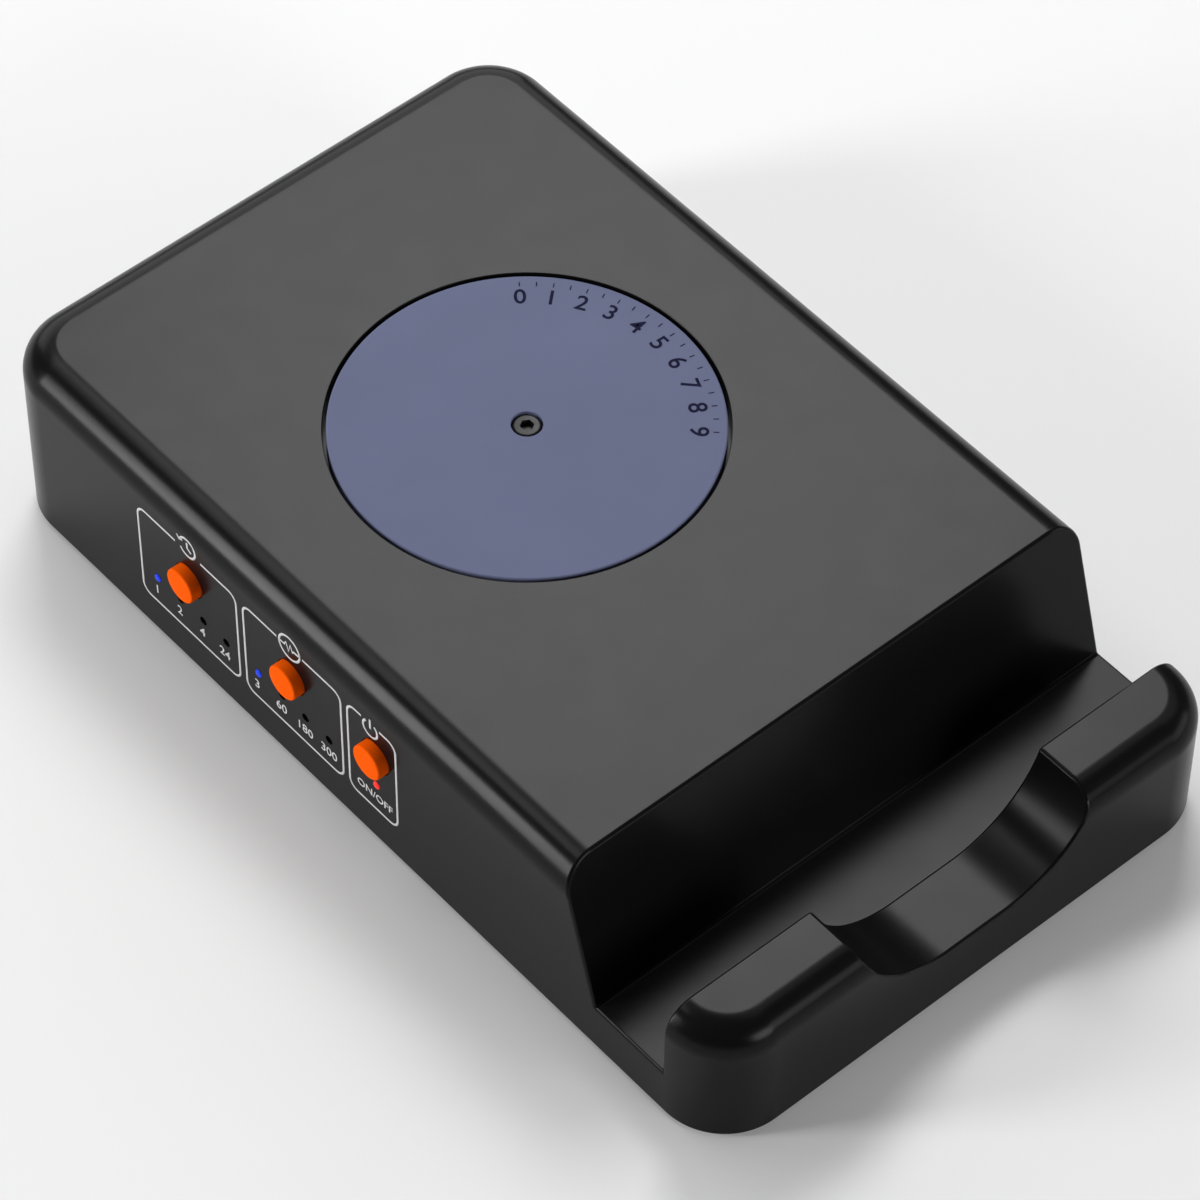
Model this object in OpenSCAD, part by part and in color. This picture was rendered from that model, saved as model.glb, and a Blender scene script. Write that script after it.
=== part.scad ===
// Desk turntable that keeps an optical mouse moving.
// A flat case carries a motor-driven disc flush with its top, three push buttons
// with status lights on its left side and a phone slot across its front.
// Millimetres. Origin under the middle of the case, on the table. +Y is the rear.

/* [Case] */
// Length from the front of the lip to the rear face
case_l = 133; // [128:1:150]
// Width across the two long sides
case_w = 80; // [78:1:96]
// Height of the case without its feet
case_h = 27.8; // [27.4:0.1:34]
// Radius of the four upright corners
corner_r = 8.9; // [7:0.1:11]
// Rounding along the top edge
top_round = 4.5; // [3.2:0.1:6]
// Thickness of the side walls
wall = 2.2; // [1.8:0.1:2.6]
// Thickness of the top panel
top_t = 2.4; // [2:0.1:3]

/* [Phone slot] */
// Thickness of the lip in front of the slot
lip_t = 9.6; // [9:0.1:12]
// Height of the lip
lip_h = 18.7; // [16:0.1:22]
// Rounding along the outer edge of the lip
lip_round = 4; // [3:0.1:5]
// Width of the slot at its floor
slot_w = 11.7; // [9:0.1:14]
// Height of the slot floor
slot_floor_h = 7.4; // [6.6:0.1:9]
// Thickness of the slot floor
slot_floor_t = 2; // [1.6:0.1:2.4]
// Lean of the wall behind the slot, in degrees
slot_lean = 16; // [8:1:22]

/* [Thumb notch] */
// Width of the flat bottom of the notch
notch_flat = 9; // [6:0.5:14]
// Radius of the two curved flanks
notch_r = 14; // [11:0.5:16]
// Height of the notch bottom
notch_h = 8.8; // [8.6:0.1:11]

/* [Turntable] */
// Diameter of the disc
disc_d = 48; // [40:0.5:52]
// Thickness of the disc
disc_t = 2; // [1.6:0.1:2.4]
// Gap round the edge of the disc
disc_gap = 0.45; // [0.3:0.05:0.8]
// Gap under the disc
disc_under = 0.4; // [0.3:0.05:0.8]
// Distance from the rear face to the axis of the disc
disc_back = 53; // [50:0.5:56]
// Thickness of the floor under the disc
pocket_floor_t = 1.6; // [1.4:0.1:2]
// Wall of the round well that holds the disc
well_wall = 1.8; // [1.4:0.1:2.4]
// Chamfer on the rim of the disc
disc_chamfer = 0.25; // [0.1:0.05:0.4]
// Diameter of the boss under the disc
hub_d = 9; // [8:0.1:10]
// Gap round the boss where it passes the well floor
hub_gap = 0.5; // [0.3:0.1:1]
// Diameter of the recess for the screw head
screw_recess_d = 3.9; // [3.8:0.1:4.6]
// Depth of that recess
screw_recess_h = 1.2; // [1.1:0.05:1.3]
// Web of the disc under the screw head
hub_web = 0.9; // [0.7:0.1:1.2]

/* [Push buttons] */
// Diameter of a button
button_d = 4.8; // [4:0.1:5.6]
// How far a button stands out
button_out = 1.55; // [1.2:0.05:2.5]
// Gap between a button and its hole
button_gap = 0.12; // [0.05:0.01:0.2]
// Height of the button axes
button_h = 15.9; // [14.5:0.1:17]
// Rear face to the timer button
timer_back = 37.7; // [37:0.1:39]
// Rear face to the interval button
interval_back = 57.1; // [56:0.1:58]
// Rear face to the power button
power_back = 72.7; // [71:0.1:74]
// Travel of a button
button_travel = 0.5; // [0.25:0.05:0.6]
// Diameter of the collar that keeps a button in the case
collar_d = 6.6; // [6.2:0.1:7.2]
// Thickness of that collar
collar_t = 0.8; // [0.6:0.1:1]
// Rounding of the outer edge of a button
button_round = 0.25; // [0.1:0.05:0.5]

/* [Status lights] */
// Diameter of a light hole
light_d = 1.2; // [1:0.1:1.6]
// Height of the lights
light_h = 10.5; // [10:0.1:11]
// Spacing of the lights in a row
light_pitch = 4.42; // [4.2:0.01:4.6]
// How far the first light of a row lies behind its button
light_lead = 6.45; // [6:0.05:7]
// Lights in each of the two rows
light_count = 4; // [3:1:4]
// How deep a light guide ends inside its hole
light_sink = 0.5; // [0.2:0.1:0.8]

/* [Button board] */
// Thickness of the circuit boards
pcb_t = 1.6; // [1.2:0.1:1.6]
// Side of a switch housing
switch_side = 6; // [5.6:0.1:6.2]
// Height of a switch housing
switch_h = 3.4; // [3.2:0.1:3.8]
// Diameter of a switch plunger
plunger_d = 3.4; // [3:0.1:3.6]
// Plunger between the button and the switch housing
plunger_out = 1.4; // [1.2:0.1:1.6]
// Height of the button board
button_board_h = 15.2; // [14.8:0.1:16]
// Board past the timer button, towards the rear
button_board_rear = 24.2; // [23.8:0.1:24.6]
// Board past the power button, towards the front
button_board_front = 10; // [9.5:0.1:11]

/* [Base] */
// Thickness of the base cover
base_t = 2; // [1.8:0.1:2.2]
// Gap between the base cover and the case
base_gap = 0.15; // [0.1:0.05:0.3]
// Diameter of a rubber foot
foot_d = 10; // [8:0.5:11]
// Thickness of a rubber foot
foot_t = 1.6; // [1.4:0.1:2]
// Depth to which a foot is let into the cover
foot_sink = 1; // [0.8:0.1:1.2]
// Foot centres from the long sides
foot_side = 11; // [10:0.5:14]
// Front feet from the front of the lip
foot_front = 14; // [13:0.5:18]
// Rear feet from the rear face
foot_rear = 20; // [19:0.5:24]
// Diameter of the screw posts
post_d = 6.5; // [6:0.1:7]
// Rear screw posts from the rear face
post_rear = 9.4; // [8.5:0.1:10]
// Screw posts from the long sides
post_side = 9.5; // [8.5:0.1:10]

/* [Geared motor] */
// Diameter of the motor can
can_d = 28; // [27.8:0.1:30]
// Gap between the motor and the base cover
motor_gap = 0.5; // [0.3:0.1:0.7]
// Sheet thickness of the can
can_t = 0.5; // [0.4:0.1:0.5]
// Thickness of the top plate with its two ears
plate_t = 1; // [0.8:0.1:1.2]
// Spacing of the two ear holes
ear_span = 35; // [35:0.5:38]
// Width of an ear
ear_w = 7; // [6.5:0.1:8]
// Diameter of an ear hole
ear_hole_d = 3.2; // [3:0.1:4]
// Gap between the output gear and the inside of the can
gear_can_gap = 0.268; // [0.2:0.004:0.4]
// Diameter of the output shaft
shaft_d = 5; // [4:0.1:5]
// Width across the two flats of the output shaft
shaft_flat = 3; // [2.6:0.1:3.4]
// Diameter of the bush round the output shaft
bush_d = 9; // [8:0.1:9.5]
// Height of that bush above the top plate
bush_h = 1.4; // [1:0.1:1.5]
// Height of the two bosses that the motor hangs from
ear_boss_h = 2.3; // [2.2:0.1:2.4]
// Gear module
gear_m = 0.32; // [0.31:0.005:0.32]
// Running gap round pins and journals
run_gap = 0.04; // [0.03:0.01:0.06]

/* [Control board] */
// Width of the control board
board_w = 48; // [46:0.5:50]
// Length of the control board
board_l = 22; // [21.5:0.5:22]
// Height of the posts under the control board
board_post_h = 2.5; // [2:0.1:3]
// Width of the power socket
usb_w = 8.94; // [8.9:0.01:9.2]
// Height of the power socket
usb_h = 3.26; // [3.2:0.01:3.4]
// Length of the power socket
usb_l = 7.35; // [7:0.05:8]
// Gap round the power socket in the case
usb_gap = 0.3; // [0.2:0.05:0.5]

/* [Hidden] */
$fn = 96;
// Overshoot of a cut, and how far a joined shape is let into its neighbour
cut = 1;
sink = 0.2;
foot_proud = foot_t - foot_sink;
case_z = foot_proud;
top_z = case_z + case_h;
front_y = -case_l / 2;
rear_y = case_l / 2;
left_x = -case_w / 2;
slot_front_y = front_y + lip_t;
slot_back_y = slot_front_y + slot_w;

// Turntable
disc_y = rear_y - disc_back;
well_d = disc_d + 2 * disc_gap;
pocket_z = top_z - disc_t - disc_under;
well_z = pocket_z - pocket_floor_t;
disc_low_z = top_z - disc_t;
head_seat_z = top_z - screw_recess_h;
shaft_top_z = head_seat_z - hub_web;
fit_gap = 0.05;
press_gap = 0.02;
disc_screw_d = 2;
disc_screw_l = 4;
disc_head_d = 3.5;
disc_head_h = 1;

// Motor, hung under the disc well, as deep as the base cover allows and with its
// output shaft as far from its axis as the can allows
pinion_n = 12;
wheel_n = 30;
output_n = 31;
tooth_out = 0.85;
tooth_in = 1.15;
can_in_r = can_d / 2 - can_t;
shaft_offset = can_in_r - gear_can_gap - gear_m * (output_n / 2 + tooth_out);
base_top_z = case_z + base_t;
motor_y = disc_y + shaft_offset;
motor_top_z = well_z - ear_boss_h;
motor_low_z = base_top_z + motor_gap;
plate_z = motor_top_z - plate_t;
motor_screw_d = 2.9;
motor_screw_in = 3;
motor_head_d = 5.4;
motor_head_h = 1.8;
gear_t = 1.6;
level_gap = 0.2;
gear_step = gear_t + level_gap;
gear_head_room = 0.3;
level_3_z = plate_z - gear_head_room - gear_t;
level_2_z = level_3_z - gear_step;
level_1_z = level_2_z - gear_step;
gear_plate_t = 0.8;
gear_plate_z = level_1_z - level_gap - gear_plate_t;
ear_boss_inset = 0.2;
pin_d = 1.5;
rotor_shaft_d = 2;
journal_d = 2;
bush_neck_d = 7;
bush_top_z = motor_top_z + bush_h;
hub_clear = 0.3;
hub_low_z = bush_top_z + hub_clear;

// Gear train: rotor, first gear, second gear, output gear
mesh_ab = gear_m * (pinion_n + wheel_n) / 2;
mesh_out = gear_m * (pinion_n + output_n) / 2;
rotor_at = [0, motor_y];
output_at = [0, disc_y];
second_dir = 30.5;
second_at = output_at + mesh_out * [cos(second_dir), sin(second_dir)];
first_at = meet(rotor_at, second_at, mesh_ab);
output_phase = 0;
second_phase = mesh_phase(output_phase, output_n, pinion_n, bearing(output_at, second_at));
first_phase = mesh_phase(second_phase, wheel_n, pinion_n, bearing(second_at, first_at));
rotor_phase = mesh_phase(first_phase, wheel_n, pinion_n, bearing(first_at, rotor_at));

// Rotor and stator
end_play = 0.1;
rotor_low_z = motor_low_z + end_play;
magnet_d = 9.6;
magnet_end_gap = 0.4;
magnet_gap = 0.35;
stator_z = motor_low_z + can_t;
stator_h = gear_plate_z - stator_z;
yoke_t = 0.8;
coil_h = (stator_h - 4 * yoke_t) / 2;
yoke_in_d = magnet_d + 2 * magnet_gap;
claw_t = 0.6;
bobbin_in_d = yoke_in_d + 2 * claw_t + 4 * fit_gap;
bobbin_inset = 0.5;
bobbin_out_d = 2 * (can_in_r - bobbin_inset);
bobbin_t = 0.5;
winding_inset = 0.4;
claw_count = 6;
claw_w = 1.8;
claw_tip_gap = 0.4;

// Buttons and their board, along X from the left wall
wall_in_x = left_x + wall;
collar_x = wall_in_x + fit_gap;
plunger_x = collar_x + collar_t;
switch_x = plunger_x + plunger_out;
button_board_x = switch_x + switch_h;
plunger_in = 1.3;
switch_room = button_travel + 0.2;
timer_y = rear_y - timer_back;
interval_y = rear_y - interval_back;
power_y = rear_y - power_back;
button_ys = [timer_y, interval_y, power_y];
button_z = case_z + button_h;
light_z = case_z + light_h;
board_rear_y = timer_y + button_board_rear;
board_front_y = power_y - button_board_front;
board_below_buttons = 9.4;
button_board_z = button_z - board_below_buttons;
board_boss_d = 4.6;
board_boss_z = button_z + 1.5;
boss_inset = 3;
boss_past_timer = 10.9;
board_boss_ys = [board_front_y + boss_inset, (timer_y + interval_y) / 2,
    timer_y + boss_past_timer];
panel_screw_d = 2;
panel_screw_in = 3;
small_head_d = 3.6;
small_head_h = 1.2;
pilot_spare = 0.3;
shank_play = 0.2;
led_side = [0.7, 0.8, 1.4];
guide_gap = 0.4;
guide_bar = 2;

// Base and control board
screw_d = 2.6;
screw_head_d = 4.6;
screw_head_h = 1.2;
screw_in = 7;
rear_post_y = rear_y - post_rear;
post_x = case_w / 2 - post_side;
lip_post_y = front_y + lip_t / 2;
lip_post_d = lip_t - 2 * wall + 2 * sink;
foot_x = case_w / 2 - foot_side;
foot_chamfer = 0.3;
board_z = base_top_z + board_post_h;
board_top_z = board_z + pcb_t;
board_gap = 0.7;
board_mid_y = rear_y - wall - board_gap - board_l / 2;
board_hole_inset = 3;
board_hole_x = board_w / 2 - board_hole_inset;
board_hole_y = board_l / 2 - board_hole_inset;
board_post_d = 4.6;
board_screw_in = 3;
usb_z = board_top_z + usb_h / 2;
usb_sink = 0.6;
usb_mouth_y = rear_y - usb_sink;
usb_t = 0.3;
usb_back_t = 1;
tongue = [6.7, 0.7];

chip_w = 3.9;
chip_t = 1.4;
chip_lift = 0.15;
leg_l = 1;
leg_t = 0.4;
leg_pitch = 1.27;
driver_at = [13, -3.5];
driver_l = 9.9;
driver_legs = 8;
controller_at = [-7, 4];
controller_l = 5;
controller_legs = 4;
capacitor_at = [12, 6];
capacitor_d = 5;
capacitor_h = 5.4;
capacitor_base = 5.2;
capacitor_base_t = 0.6;

// Cables inside the case
wire_d = 1;
wire_pitch = 2;
wire_bend = 2.5;
plug_h = 8;
header_h = 6;
plug_t = 4.4;
plug_side = 1.6;
header_floor = 1;
header_wall = 0.8;
motor_wire_n = 5;
cover_w = 14.6;
cover_out = 3;
cover_y = motor_y + can_d / 2 + cover_out;
cover_h = 14;
cover_over_wires = 2.6;
cover_wrap = 8;
lead_slot = [8, 3];
wire_run = 4.6;
wire_drop = 0.8;
motor_plug_y = cover_y + wire_bend + wire_run;
wire_z = board_top_z + plug_h + wire_drop + wire_bend;
cover_z = wire_z + cover_over_wires - cover_h;
link_wire_n = 4;
link_before_mid = 4.8;
link_y = board_mid_y - link_before_mid;
link_plug_x = -15;
link_z = wire_z;

// ---- Shared functions -------------------------------------------------------

function bearing(a, b) = atan2(b[1] - a[1], b[0] - a[0]);

// Point at distance d from both a and b, on the right of the way from a to b
function meet(a, b, d) = let (
        m = (a + b) / 2,
        h = norm(b - a) / 2,
        k = sqrt(d * d - h * h),
        t = bearing(a, b) - 90
    ) m - k * [cos(t), sin(t)];

// Turn of a gear's first tooth so that it meshes with a neighbour
function mesh_phase(phase, n, n_next, dir) =
    dir + 180 + 360 / n_next * (0.5 - (phase - dir) * n / 360);

// Half angle of an involute tooth at radius r, and one flank's points
function inv_angle(a) = tan(a) * 180 / PI - a;
function tooth_half(r, r_pitch, half) = let (
        base = r_pitch * cos(20),
        a = acos(min(1, base / max(r, base)))
    ) half + inv_angle(20) - inv_angle(a);

// ---- Shared shapes ----------------------------------------------------------

module rounded_rect(w, l, r) {
    square([w - 2 * r, l], center = true);
    square([w, l - 2 * r], center = true);
    for (sx = [-1, 1], sy = [-1, 1])
        translate([sx * (w / 2 - r), sy * (l / 2 - r)]) circle(r);
}

module quarter(r) {
    intersection() {
        circle(r);
        square(r);
    }
}

// Upright block with round corners and a rounded top edge
module rounded_block(w, l, h, r, f, below = 0) {
    translate([0, 0, -below]) linear_extrude(h - f + below) rounded_rect(w, l, r);
    translate([0, 0, h - f]) {
        linear_extrude(f) rounded_rect(w - 2 * f, l - 2 * f, r - f);
        for (side = [0, 1]) rotate([0, 0, 180 * side]) {
            translate([w / 2 - f, l / 2 - r, 0]) rotate([90, 0, 0])
                linear_extrude(l - 2 * r) quarter(f);
            translate([r - w / 2, l / 2 - f, 0]) rotate([90, 0, 90])
                linear_extrude(w - 2 * r) quarter(f);
            translate([w / 2 - r, l / 2 - r, 0])
                rotate_extrude(angle = 90) translate([r - f, 0]) quarter(f);
            translate([r - w / 2, l / 2 - r, 0]) rotate([0, 0, 90])
                rotate_extrude(angle = 90) translate([r - f, 0]) quarter(f);
        }
    }
}

// Bar with round ends, h thick
module stadium(w, t, h) {
    linear_extrude(h) {
        square([w - t, t], center = true);
        for (s = [-1, 1]) translate([s * (w - t) / 2, 0]) circle(t / 2);
    }
}

module ring(d_out, d_in, h) {
    difference() {
        cylinder(d = d_out, h = h);
        translate([0, 0, -cut]) cylinder(d = d_in, h = h + 2 * cut);
    }
}

// Cross recess, cut down from z = 0
module cross_recess(size, depth) {
    for (a = [0, 90]) rotate([0, 0, a])
        translate([-size / 2, -size / 8, -depth]) cube([size, size / 4, depth + cut]);
}

// Pan head screw, seated at z = 0 with its shank along -Z
module pan_screw(head_d, head_h, shank_d, shank_l) {
    difference() {
        union() {
            cylinder(d = head_d, h = head_h);
            translate([0, 0, -shank_l]) cylinder(d = shank_d, h = shank_l);
        }
        translate([0, 0, head_h]) cross_recess(0.6 * head_d, 0.6 * head_h);
    }
}

// Flat head screw, its head's face at z = 0 and its shank along -Z
module flat_screw(head_d, head_h, shank_d, shank_l) {
    difference() {
        union() {
            translate([0, 0, -head_h]) cylinder(d1 = shank_d, d2 = head_d, h = head_h);
            translate([0, 0, -head_h - shank_l]) cylinder(d = shank_d, h = shank_l);
        }
        cross_recess(0.55 * head_d, 0.6 * head_h);
    }
}

// Spur gear outline with slim involute teeth
module gear_outline(n) {
    rp = gear_m * n / 2;
    tip = rp + tooth_out * gear_m;
    root = rp - tooth_in * gear_m;
    half = 90 / n * 0.8;
    radii = [root, rp * 0.985, rp + 0.35 * gear_m, tip];
    polygon([for (i = [0:n - 1], s = [-1, 1], k = [0:3]) let (
            j = s < 0 ? k : 3 - k,
            a = 360 / n * i + s * tooth_half(radii[j], rp, half)
        ) radii[j] * [cos(a), sin(a)]]);
}

module gear(n, bore) {
    linear_extrude(gear_t) difference() {
        gear_outline(n);
        circle(d = bore);
    }
}

// Wires that leave a face along +Y, bend once and drop into a plug
module wire_loom(n, run, drop) {
    for (i = [0:n - 1]) translate([(i - (n - 1) / 2) * wire_pitch, 0, 0]) {
        rotate([-90, 0, 0]) cylinder(d = wire_d, h = run);
        translate([0, run, -wire_bend]) rotate([0, -90, 0])
            rotate_extrude(angle = 90) translate([wire_bend, 0]) circle(d = wire_d);
        translate([0, run + wire_bend, -wire_bend - drop]) cylinder(d = wire_d, h = drop);
    }
}

// ---- Case -------------------------------------------------------------------

// Everything behind the leaning wall, moved back by inset
module behind_slot(inset) {
    back = inset / cos(slot_lean);
    low_y = slot_back_y + back - slot_floor_h * tan(slot_lean);
    rotate([90, 0, 90]) translate([0, 0, -case_w])
        linear_extrude(2 * case_w) polygon([
            [low_y - cut * tan(slot_lean), -cut],
            [low_y + (case_h + cut) * tan(slot_lean), case_h + cut],
            [rear_y + cut, case_h + cut],
            [rear_y + cut, -cut]]);
}

// Everything in front of the slot, moved forward by inset
module before_slot(inset) {
    translate([-case_w, front_y - cut, -cut])
        cube([2 * case_w, lip_t + cut - inset, case_h + 2 * cut]);
}

// Thumb notch through the lip, grown by grow
module notch(grow) {
    r = notch_r + grow;
    z = notch_h + notch_r;
    translate([0, slot_front_y + slot_w / 3, 0]) rotate([90, 0, 0])
        linear_extrude(lip_t + slot_w / 3 + cut) {
            for (s = [-1, 1]) translate([s * notch_flat / 2, z]) circle(r);
            translate([-notch_flat / 2, z - r]) square([notch_flat, r]);
        }
}

module case_form() {
    intersection() {
        rounded_block(case_w, case_l, case_h, corner_r, top_round);
        behind_slot(0);
    }
    difference() {
        intersection() {
            rounded_block(case_w, case_l, lip_h, corner_r, lip_round);
            before_slot(0);
        }
        notch(0);
    }
    linear_extrude(slot_floor_h) rounded_rect(case_w, case_l, corner_r);
}

module case_room() {
    w = case_w - 2 * wall;
    l = case_l - 2 * wall;
    r = corner_r - wall;
    intersection() {
        rounded_block(w, l, case_h - top_t, r, top_round - wall, cut);
        behind_slot(wall);
    }
    difference() {
        intersection() {
            rounded_block(w, l, lip_h - top_t, r, lip_round - wall, cut);
            before_slot(wall);
        }
        notch(wall);
    }
    translate([0, 0, -cut]) linear_extrude(slot_floor_h - slot_floor_t + cut)
        rounded_rect(w, l, r);
}

module at_buttons() {
    for (y = button_ys) translate([left_x, y, button_z]) children();
}

module at_lights(y) {
    for (i = [0:light_count - 1])
        translate([left_x, y + light_lead - i * light_pitch, light_z]) children();
}

module at_all_lights() {
    at_lights(timer_y) children();
    at_lights(interval_y) children();
    translate([left_x, power_y, light_z]) children();
}

module at_board_bosses() {
    for (y = board_boss_ys) translate([button_board_x, y, board_boss_z]) children();
}

module at_posts() {
    for (s = [-1, 1]) {
        translate([s * post_x, rear_post_y, 0]) children();
        translate([s * post_x, lip_post_y, 0]) children();
    }
}

module at_ears() {
    for (s = [-1, 1]) translate([s * ear_span / 2, motor_y, 0]) children();
}

module case_posts() {
    for (s = [-1, 1]) {
        translate([s * post_x, rear_post_y, base_top_z])
            cylinder(d = post_d, h = top_z - top_t - base_top_z + sink);
        translate([s * post_x, lip_post_y, base_top_z])
            cylinder(d = lip_post_d, h = case_z + lip_h - top_t - base_top_z + sink);
    }
    translate([0, disc_y, well_z])
        cylinder(d = well_d + 2 * well_wall, h = top_z - top_t - well_z + sink);
    at_ears() translate([0, 0, motor_top_z]) 
        cylinder(d = ear_w - 2 * ear_boss_inset, h = ear_boss_h + sink);
    at_board_bosses() rotate([0, -90, 0])
        cylinder(d = board_boss_d, h = button_board_x - wall_in_x + sink);
}

module upper_case() {
    color("#3a3b3d") difference() {
        union() {
            translate([0, 0, case_z]) difference() {
                case_form();
                case_room();
            }
            case_posts();
        }
        translate([0, disc_y, pocket_z]) cylinder(d = well_d, h = disc_t + disc_under + cut);
        translate([0, disc_y, well_z - cut])
            cylinder(d = hub_d + 2 * hub_gap, h = pocket_floor_t + 2 * cut);
        at_posts() translate([0, 0, base_top_z - cut])
            cylinder(d = screw_d, h = screw_in + pilot_spare + cut);
        at_ears() translate([0, 0, motor_top_z - cut])
            cylinder(d = motor_screw_d, h = motor_screw_in + pilot_spare + cut);
        at_board_bosses() rotate([0, -90, 0]) translate([0, 0, -cut])
            cylinder(d = panel_screw_d, h = panel_screw_in + pilot_spare + cut);
        at_buttons() rotate([0, 90, 0]) translate([0, 0, -cut])
            cylinder(d = button_d + 2 * button_gap, h = wall + 2 * cut);
        at_all_lights() rotate([0, 90, 0]) translate([0, 0, -cut])
            cylinder(d = light_d, h = wall + 2 * cut);
        translate([0, rear_y + cut, usb_z]) rotate([90, 0, 0])
            stadium(usb_w + 2 * usb_gap, usb_h + 2 * usb_gap, wall + 2 * cut);
    }
}

module base_cover() {
    edge = wall + base_gap;
    color("#2e2f31") difference() {
        union() {
            translate([0, 0, case_z]) linear_extrude(base_t)
                rounded_rect(case_w - 2 * edge, case_l - 2 * edge, corner_r - edge);
            at_board_holes() translate([0, 0, base_top_z - sink])
                cylinder(d = board_post_d, h = board_post_h + sink);
        }
        at_feet() translate([0, 0, case_z - cut])
            cylinder(d = foot_d + 4 * fit_gap, h = foot_sink + cut);
        at_posts() {
            translate([0, 0, case_z - cut]) cylinder(d = screw_d + shank_play, h = base_t + 2 * cut);
            translate([0, 0, case_z]) cylinder(d1 = screw_head_d + shank_play, d2 = screw_d + shank_play,
                h = screw_head_h);
        }
        at_board_holes() translate([0, 0, board_z - board_screw_in - pilot_spare])
            cylinder(d = panel_screw_d, h = board_screw_in + pilot_spare + cut);
    }
}

module at_feet() {
    for (s = [-1, 1]) {
        translate([s * foot_x, front_y + foot_front, 0]) children();
        translate([s * foot_x, rear_y - foot_rear, 0]) children();
    }
}

module base_screws() {
    color("silver") at_posts() translate([0, 0, case_z]) rotate([180, 0, 0])
        flat_screw(screw_head_d, screw_head_h, screw_d - 2 * fit_gap,
            base_t - screw_head_h + screw_in);
}

module rubber_feet() {
    color("#1c1c1e") at_feet() {
        cylinder(d1 = foot_d - 2 * foot_chamfer, d2 = foot_d, h = foot_chamfer);
        translate([0, 0, foot_chamfer]) cylinder(d = foot_d, h = foot_t - foot_chamfer);
    }
}

// ---- Turntable --------------------------------------------------------------

// Round bar of diameter d with two flats, w across them
module flatted(d, w, h) {
    intersection() {
        cylinder(d = d, h = h);
        translate([-d, -w / 2, -cut]) cube([2 * d, w, h + 2 * cut]);
    }
}

module turntable_disc() {
    r = disc_d / 2;
    color("#6e708e") translate([0, disc_y, 0]) difference() {
        rotate_extrude() polygon([
            [0, hub_low_z], [hub_d / 2, hub_low_z], [hub_d / 2, disc_low_z],
            [r, disc_low_z], [r, top_z - disc_chamfer], [r - disc_chamfer, top_z],
            [0, top_z]]);
        translate([0, 0, hub_low_z - cut]) flatted(shaft_d + 2 * fit_gap,
            shaft_flat + 2 * fit_gap, shaft_top_z - hub_low_z + cut);
        translate([0, 0, head_seat_z]) cylinder(d = screw_recess_d, h = screw_recess_h + cut);
        translate([0, 0, shaft_top_z - cut]) cylinder(d = disc_screw_d + shank_play,
            h = hub_web + 2 * cut);
    }
}

module disc_screw() {
    color("silver") translate([0, disc_y, head_seat_z])
        pan_screw(disc_head_d, disc_head_h, disc_screw_d, disc_screw_l);
}

module output_shaft() {
    flat_z = bush_top_z + end_play;
    color("silver") translate([0, disc_y, 0]) difference() {
        union() {
            translate([0, 0, gear_plate_z + end_play])
                cylinder(d = journal_d, h = level_3_z - gear_plate_z - end_play);
            translate([0, 0, level_3_z]) cylinder(d = shaft_d, h = flat_z - level_3_z);
            translate([0, 0, flat_z]) flatted(shaft_d, shaft_flat, shaft_top_z - flat_z);
        }
        translate([0, 0, shaft_top_z - disc_screw_l])
            cylinder(d = disc_screw_d + 2 * fit_gap, h = disc_screw_l + cut);
    }
}

// ---- Gear train -------------------------------------------------------------

module output_gear() {
    color("goldenrod") translate([output_at[0], output_at[1], level_3_z])
        rotate([0, 0, output_phase]) gear(output_n, shaft_d + press_gap);
}

// Wheel with a pinion on top, turning on a pin
module compound_gear(at, z, phase) {
    translate([at[0], at[1], z]) rotate([0, 0, phase]) {
        gear(wheel_n, pin_d + 2 * run_gap);
        translate([0, 0, gear_t]) linear_extrude(gear_step) difference() {
            gear_outline(pinion_n);
            circle(d = pin_d + 2 * run_gap);
        }
    }
}

module second_gear() {
    color("ivory") compound_gear(second_at, level_2_z, second_phase);
}

module first_gear() {
    color("ivory") compound_gear(first_at, level_1_z, first_phase);
}

module rotor_shaft() {
    color("silver") translate([rotor_at[0], rotor_at[1], 0]) {
        translate([0, 0, rotor_low_z])
            cylinder(d = rotor_shaft_d, h = level_1_z - rotor_low_z);
        translate([0, 0, level_1_z]) rotate([0, 0, rotor_phase])
            linear_extrude(gear_t) gear_outline(pinion_n);
    }
}

module rotor_magnet() {
    color("#4a4a4a") translate([rotor_at[0], rotor_at[1], stator_z + magnet_end_gap])
        ring(magnet_d, rotor_shaft_d + press_gap, stator_h - 2 * magnet_end_gap);
}

module gear_pins() {
    color("silver") for (at = [first_at, second_at])
        translate([at[0], at[1], gear_plate_z]) cylinder(d = pin_d,
            h = motor_top_z - gear_plate_z);
}

module at_gear_pins() {
    for (at = [first_at, second_at]) translate([at[0], at[1], 0]) children();
}

module gear_plate() {
    color("gainsboro") difference() {
        translate([0, motor_y, gear_plate_z]) cylinder(r = can_in_r - fit_gap, h = gear_plate_t);
        at_gear_pins() translate([0, 0, gear_plate_z - cut])
            cylinder(d = pin_d + press_gap, h = gear_plate_t + 2 * cut);
        for (at = [rotor_at, output_at]) translate([at[0], at[1], gear_plate_z - cut])
            cylinder(d = journal_d + 2 * run_gap, h = gear_plate_t + 2 * cut);
    }
}

// ---- Motor ------------------------------------------------------------------

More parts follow.
